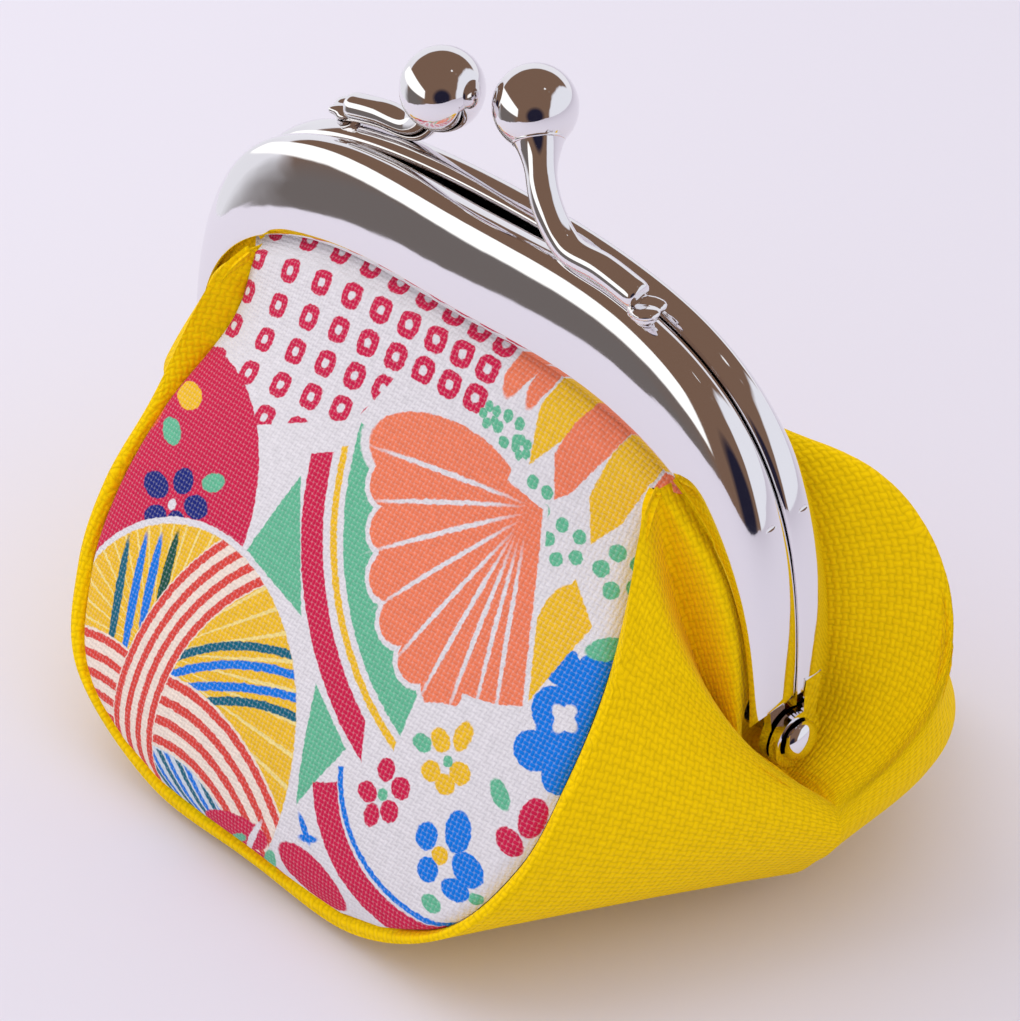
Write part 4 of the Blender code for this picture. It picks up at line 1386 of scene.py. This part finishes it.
def paint_right(plan):
    """The blue flower, the green sprigs and the petals under the frame."""
    petals = [(27.0, 28.6, 4.0, 3.6, 0), (30.4, 27.4, 4.2, 4.0, 0), (27.8, 32.6, 3.6, 4.2, 0)]
    petals += [(28.2, 37.0, 4.2, 3.8, 0), (31.6, 37.6, 4.0, 4.4, 0), (31.8, 32.0, 3.2, 6.0, 0)]
    petals += [(30.0, 32.6, 6.0, 9.0, 0)]
    paint_flower(plan, petals, BLUE)
    plan.paint(WHITE, plan.either(plan.oval(29.5, 32.8, 3.2, 1.6, 20), plan.oval(29.5, 32.8, 3.2, 1.6, 100)))
    plan.paint(GREEN, plan.oval(30.2, 25.0, 4.6, 2.2, -35))
    for corners, colour in RIM_PETALS:
        plan.paint(colour, plan.corner_shape(*corners))
    plan.paint(CORAL, plan.either(plan.oval(10.4, 5.0, 2.9, 9.6, 4), plan.oval(12.8, 5.2, 2.2, 8.8, 0)))
    plan.paint(YELLOW, plan.corner_shape((24.3, 20.8), (27.8, 24.0), (25.4, 34.4), (22.7, 26.3)))
    plan.paint(YELLOW, plan.oval(24.4, 25.0, 3.4, 7.0, 0))
    for u, v, radius, size in SPRIGS:
        spots = []
        for k in range(5):
            angle = math.radians(72 * k + 20)
            spots.append(plan.disc(u + radius * math.cos(angle), v + radius * math.sin(angle), size))
        plan.paint(GREEN, plan.either(*spots))


def paint_foot(plan):
    """What shows of the flower at the bottom edge."""
    petals = [(-1.0, 61.8, 10.0, 3.8, -18), (10.0, 61.0, 9.6, 4.8, 14), (2.6, 64.6, 8.0, 4.0, 0)]
    paint_flower(plan, petals, CRIMSON)
    plan.paint(WHITE, plan.stroke((2.6, 58.6), (0.4, 64.0), 0.8))
    plan.paint(GREEN, plan.either(plan.oval(4.0, 62.6, 1.6, 3.4, 20), plan.oval(-0.6, 62.6, 3.2, 1.0, -40)))
    short_strokes = [
        plan.stroke((7.0, 55.2), (9.2, 57.6), 0.8),
        plan.stroke((7.6, 57.6), (10.0, 56.6), 0.7),
    ]
    plan.paint(BLUE, plan.either(*short_strokes))


def cotton_material():
    look, surface = new_material("printed_cotton_look", 0.85)
    plan = Plan(look.node_tree, WHITE)
    height = plan.weave(COTTON_PITCH)
    grain = plan.noise(plan.place, 1.3, 3.0)
    shift = plan.vector("SUBTRACT", plan.noise(plan.place, 1.9, 1.0, 1), (0.5, 0.5, 0.5))
    shift = plan.add("ShaderNodeVectorMath", {0: shift, 3: PRINT_WANDER}, operation="SCALE")
    plan.move_to(plan.vector("ADD", plan.place, shift))
    paint_rings(plan)
    plan.paint(GREEN, plan.corner_shape((-8.3, 26.6), (-1.0, 38.2), (-10.6, 35.8)))
    paint_left(plan)
    paint_pale_ball(plan)
    paint_arcs(plan)
    paint_right(plan)
    paint_fan_flower(plan)
    paint_thread_ball(plan)
    paint_foot(plan)
    gap = plan.number("MULTIPLY_ADD", height, -2.2, 1.0, clamp=True)
    faded = plan.mix(plan.number("MULTIPLY", gap, 0.32), plan.colour, WHITE)
    shade = plan.number("MULTIPLY_ADD", grain, 0.3, 0.85)
    surface_colour = plan.add("ShaderNodeVectorMath", {0: faded, 3: shade}, operation="SCALE")
    add_bump(plan, surface, height, COTTON_RELIEF)
    plan.tree.links.new(surface_colour, surface.inputs["Base Color"])
    surface.inputs["Sheen Weight"].default_value = 0.05
    surface.inputs["Specular IOR Level"].default_value = 0.1
    return look


def add_bump(plan, surface, height, distance):
    bump = plan.add("ShaderNodeBump", {"Height": height, "Distance": distance, "Strength": 1.0})
    plan.tree.links.new(bump, surface.inputs["Normal"])


def plain_cloth_material(name, colour, pitch, relief, gap_shade_share):
    """Plain woven cloth in one colour, with painted shade darkening the gaps between its threads, and its
    threads uneven.
    """
    look, surface = new_material(name, 0.9)
    plan = Plan(look.node_tree, colour)
    height = plan.weave(pitch)
    # Painted shade: the weave's gaps are drawn darker than the threads, as if shadowed.
    gap_shade_colour = tuple(value * gap_shade_share for value in colour[:3]) + (1.0,)
    gap = plan.number("MULTIPLY_ADD", height, -1.6, 1.0, clamp=True)
    gap_shaded_colour = plan.mix(gap, colour, gap_shade_colour)
    grain = plan.noise(plan.place, 0.9, 4.0)
    shade = plan.number("MULTIPLY_ADD", grain, 0.3, 0.9)
    scaled = plan.add("ShaderNodeVectorMath", {0: gap_shaded_colour, 3: shade}, operation="SCALE")
    plan.tree.links.new(scaled, surface.inputs["Base Color"])
    add_bump(plan, surface, height, relief)
    surface.inputs["Sheen Weight"].default_value = 0.03
    surface.inputs["Specular IOR Level"].default_value = 0.08
    return look


def metal_material():
    look, surface = new_material("bright_metal_look", 0.05, 1.0)
    plan = Plan(look.node_tree, None)
    surface.inputs["Base Color"].default_value = METAL_COLOUR
    spot = plan.add("ShaderNodeTexCoord", {}, 3)
    stretched = plan.add("ShaderNodeMapping", {"Vector": spot, "Scale": (900.0, 900.0, 14000.0)})
    fine = plan.noise(stretched, 1.0, 3.0)
    rough = plan.number("MULTIPLY_ADD", fine, 0.07, 0.02)
    plan.tree.links.new(rough, surface.inputs["Roughness"])
    dents = plan.noise(spot, 160.0, 2.0)
    add_bump(plan, surface, dents, 0.00003)
    return look


def paper_material():
    look, surface = new_material("paper_cord_look", 0.9)
    plan = Plan(look.node_tree, None)
    spot = plan.add("ShaderNodeTexCoord", {}, 3)
    grain = plan.noise(spot, 900.0, 4.0)
    colour = plan.mix(grain, linear(150, 122, 88), linear(196, 170, 132))
    plan.tree.links.new(colour, surface.inputs["Base Color"])
    add_bump(plan, surface, grain, 0.0001)
    return look


def dress_paper_cords():
    look = paper_material()
    for half in ("front", "back"):
        cord = bpy.data.objects[f"{half}_paper_cord"]
        cord.data.materials.clear()
        cord.data.materials.append(look)


# The stage, the light and the camera


def add_floor():
    """The white ground. The metal mirrors it only as far as its edges."""
    shape = bmesh.new()
    bmesh.ops.create_grid(shape, x_segments=1, y_segments=1, size=FLOOR_SIZE / 2)
    mesh = mesh_from("floor", shape)
    look, surface = new_material("floor_look", 0.95)
    surface.inputs["Base Color"].default_value = FLOOR_COLOUR
    surface.inputs["Specular IOR Level"].default_value = 0.0
    plan = Plan(look.node_tree, None)
    spot = plan.add("ShaderNodeTexCoord", {}, 3)
    beyond = []
    for way, distance in FLOOR_EDGES:
        beyond.append(plan.number("SUBTRACT", plan.vector("DOT_PRODUCT", spot, way), distance))
    wander = plan.number("MULTIPLY_ADD", plan.noise(spot, 22.0), 0.05, -0.025)
    past = plan.number("ADD", plan.either(*beyond), wander)
    past = plan.number("MULTIPLY_ADD", past, 250.0, 0.5, clamp=True)
    past = plan.number("MULTIPLY", past, plan.add("ShaderNodeLightPath", {}, 3))
    clear = plan.add("ShaderNodeBsdfTransparent", {})
    both = plan.add("ShaderNodeMixShader", {0: past, 1: surface.outputs[0], 2: clear})
    plan.tree.links.new(both, plan.tree.nodes["Material Output"].inputs["Surface"])
    mesh.materials.append(look)
    floor = add_object("floor", mesh)
    floor.location.z = -0.05 * MM


def toward(plan, way, direction, reach, soft):
    """One where a direction lies within the reach, in degrees, of the given one."""
    close = plan.vector("DOT_PRODUCT", way, tuple(Vector(direction).normalized()))
    limit = math.cos(math.radians(reach))
    return plan.number("MULTIPLY_ADD", close, 1 / soft, 0.5 - limit / soft, clamp=True)


def add_world():
    world = bpy.data.worlds.new("studio")
    bpy.context.scene.world = world
    world.use_nodes = True
    world.node_tree.nodes.clear()
    plan = Plan(world.node_tree, None)
    way = plan.add("ShaderNodeTexCoord", {})
    glossy = plan.add("ShaderNodeLightPath", {}, 3)
    wander = plan.number("MULTIPLY_ADD", plan.noise(way, 3.0, 2.0), 0.08, -0.04)
    seen = linear(240, 240, 246)
    for direction, reach, soft, colour in REFLECTIONS:
        seen = plan.mix(toward(plan, plan.vector("ADD", way, wander), direction, reach, soft), seen, colour)
    sides = []
    for side, limit in STRIP_SIDES:
        sides.append(plan.number("SUBTRACT", plan.vector("DOT_PRODUCT", way, side), limit))
    strip = plan.number("MULTIPLY", plan.both(*sides), 1 / STRIP_SOFT, clamp=True)
    strip = plan.number("MULTIPLY", strip, toward(plan, way, STRIP_WAY, STRIP_REACH, STRIP_SOFT))
    seen = plan.mix(strip, seen, STRIP_COLOUR)
    final = plan.mix(glossy, WORLD_LIGHT, seen)
    background = plan.add("ShaderNodeBackground", {"Color": final, "Strength": WORLD_STRENGTH})
    plan.add("ShaderNodeOutputWorld", {0: background}, output=None)


def add_area_light(name, place, size, power, colour=(1.0, 1.0, 1.0)):
    light = bpy.data.lights.new(name, "AREA")
    light.shape = "DISK"
    light.size = size
    light.energy = power
    light.color = colour
    made = bpy.data.objects.new(name, light)
    bpy.context.scene.collection.objects.link(made)
    made.location = place
    made.visible_glossy = False
    made.rotation_mode = "QUATERNION"
    made.rotation_quaternion = (Vector(place) - Vector(LIGHT_AIM)).to_track_quat("Z", "Y")
    return made


def add_camera():
    azimuth = math.radians(CAMERA_AZIMUTH)
    elevation = math.radians(CAMERA_ELEVATION)
    roll = math.radians(CAMERA_ROLL)
    right = Vector((math.cos(azimuth), math.sin(azimuth), 0))
    level_share = math.cos(elevation)
    back = Vector((math.sin(azimuth) * level_share, -math.cos(azimuth) * level_share, math.sin(elevation)))
    up = back.cross(right)
    x_axis = math.cos(roll) * right + math.sin(roll) * up
    y_axis = math.cos(roll) * up - math.sin(roll) * right
    place = Vector(CAMERA_TARGET) + back * CAMERA_DISTANCE
    data = bpy.data.cameras.new("camera")
    data.sensor_width = 36
    data.lens = CAMERA_LENS
    data.clip_start = 0.01
    data.clip_end = 20
    camera = bpy.data.objects.new("camera", data)
    bpy.context.scene.collection.objects.link(camera)
    turn = Matrix((x_axis, y_axis, back)).transposed().to_4x4()
    camera.matrix_world = Matrix.Translation(place) @ turn
    bpy.context.scene.camera = camera


def main():
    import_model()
    bpy.context.scene.view_settings.view_transform = "Standard"
    build_metal(metal_material())
    # The last figure of each cloth is how much of its colour the painted shade in the weave's gaps keeps.
    canvas = plain_cloth_material("yellow_canvas_look", CANVAS_COLOUR, CANVAS_PITCH, CANVAS_RELIEF, 0.74)
    lining = plain_cloth_material("lining_cotton_look", LINING_COLOUR, COTTON_PITCH, COTTON_RELIEF, 0.8)
    build_cloth(cotton_material(), canvas, lining)
    dress_paper_cords()
    add_floor()
    add_world()
    add_area_light("key", (-0.30, -0.10, 0.42), 0.55, 0.85)
    add_area_light("top", (-0.02, 0.12, 0.60), 0.5, 0.3)
    add_camera()


main()
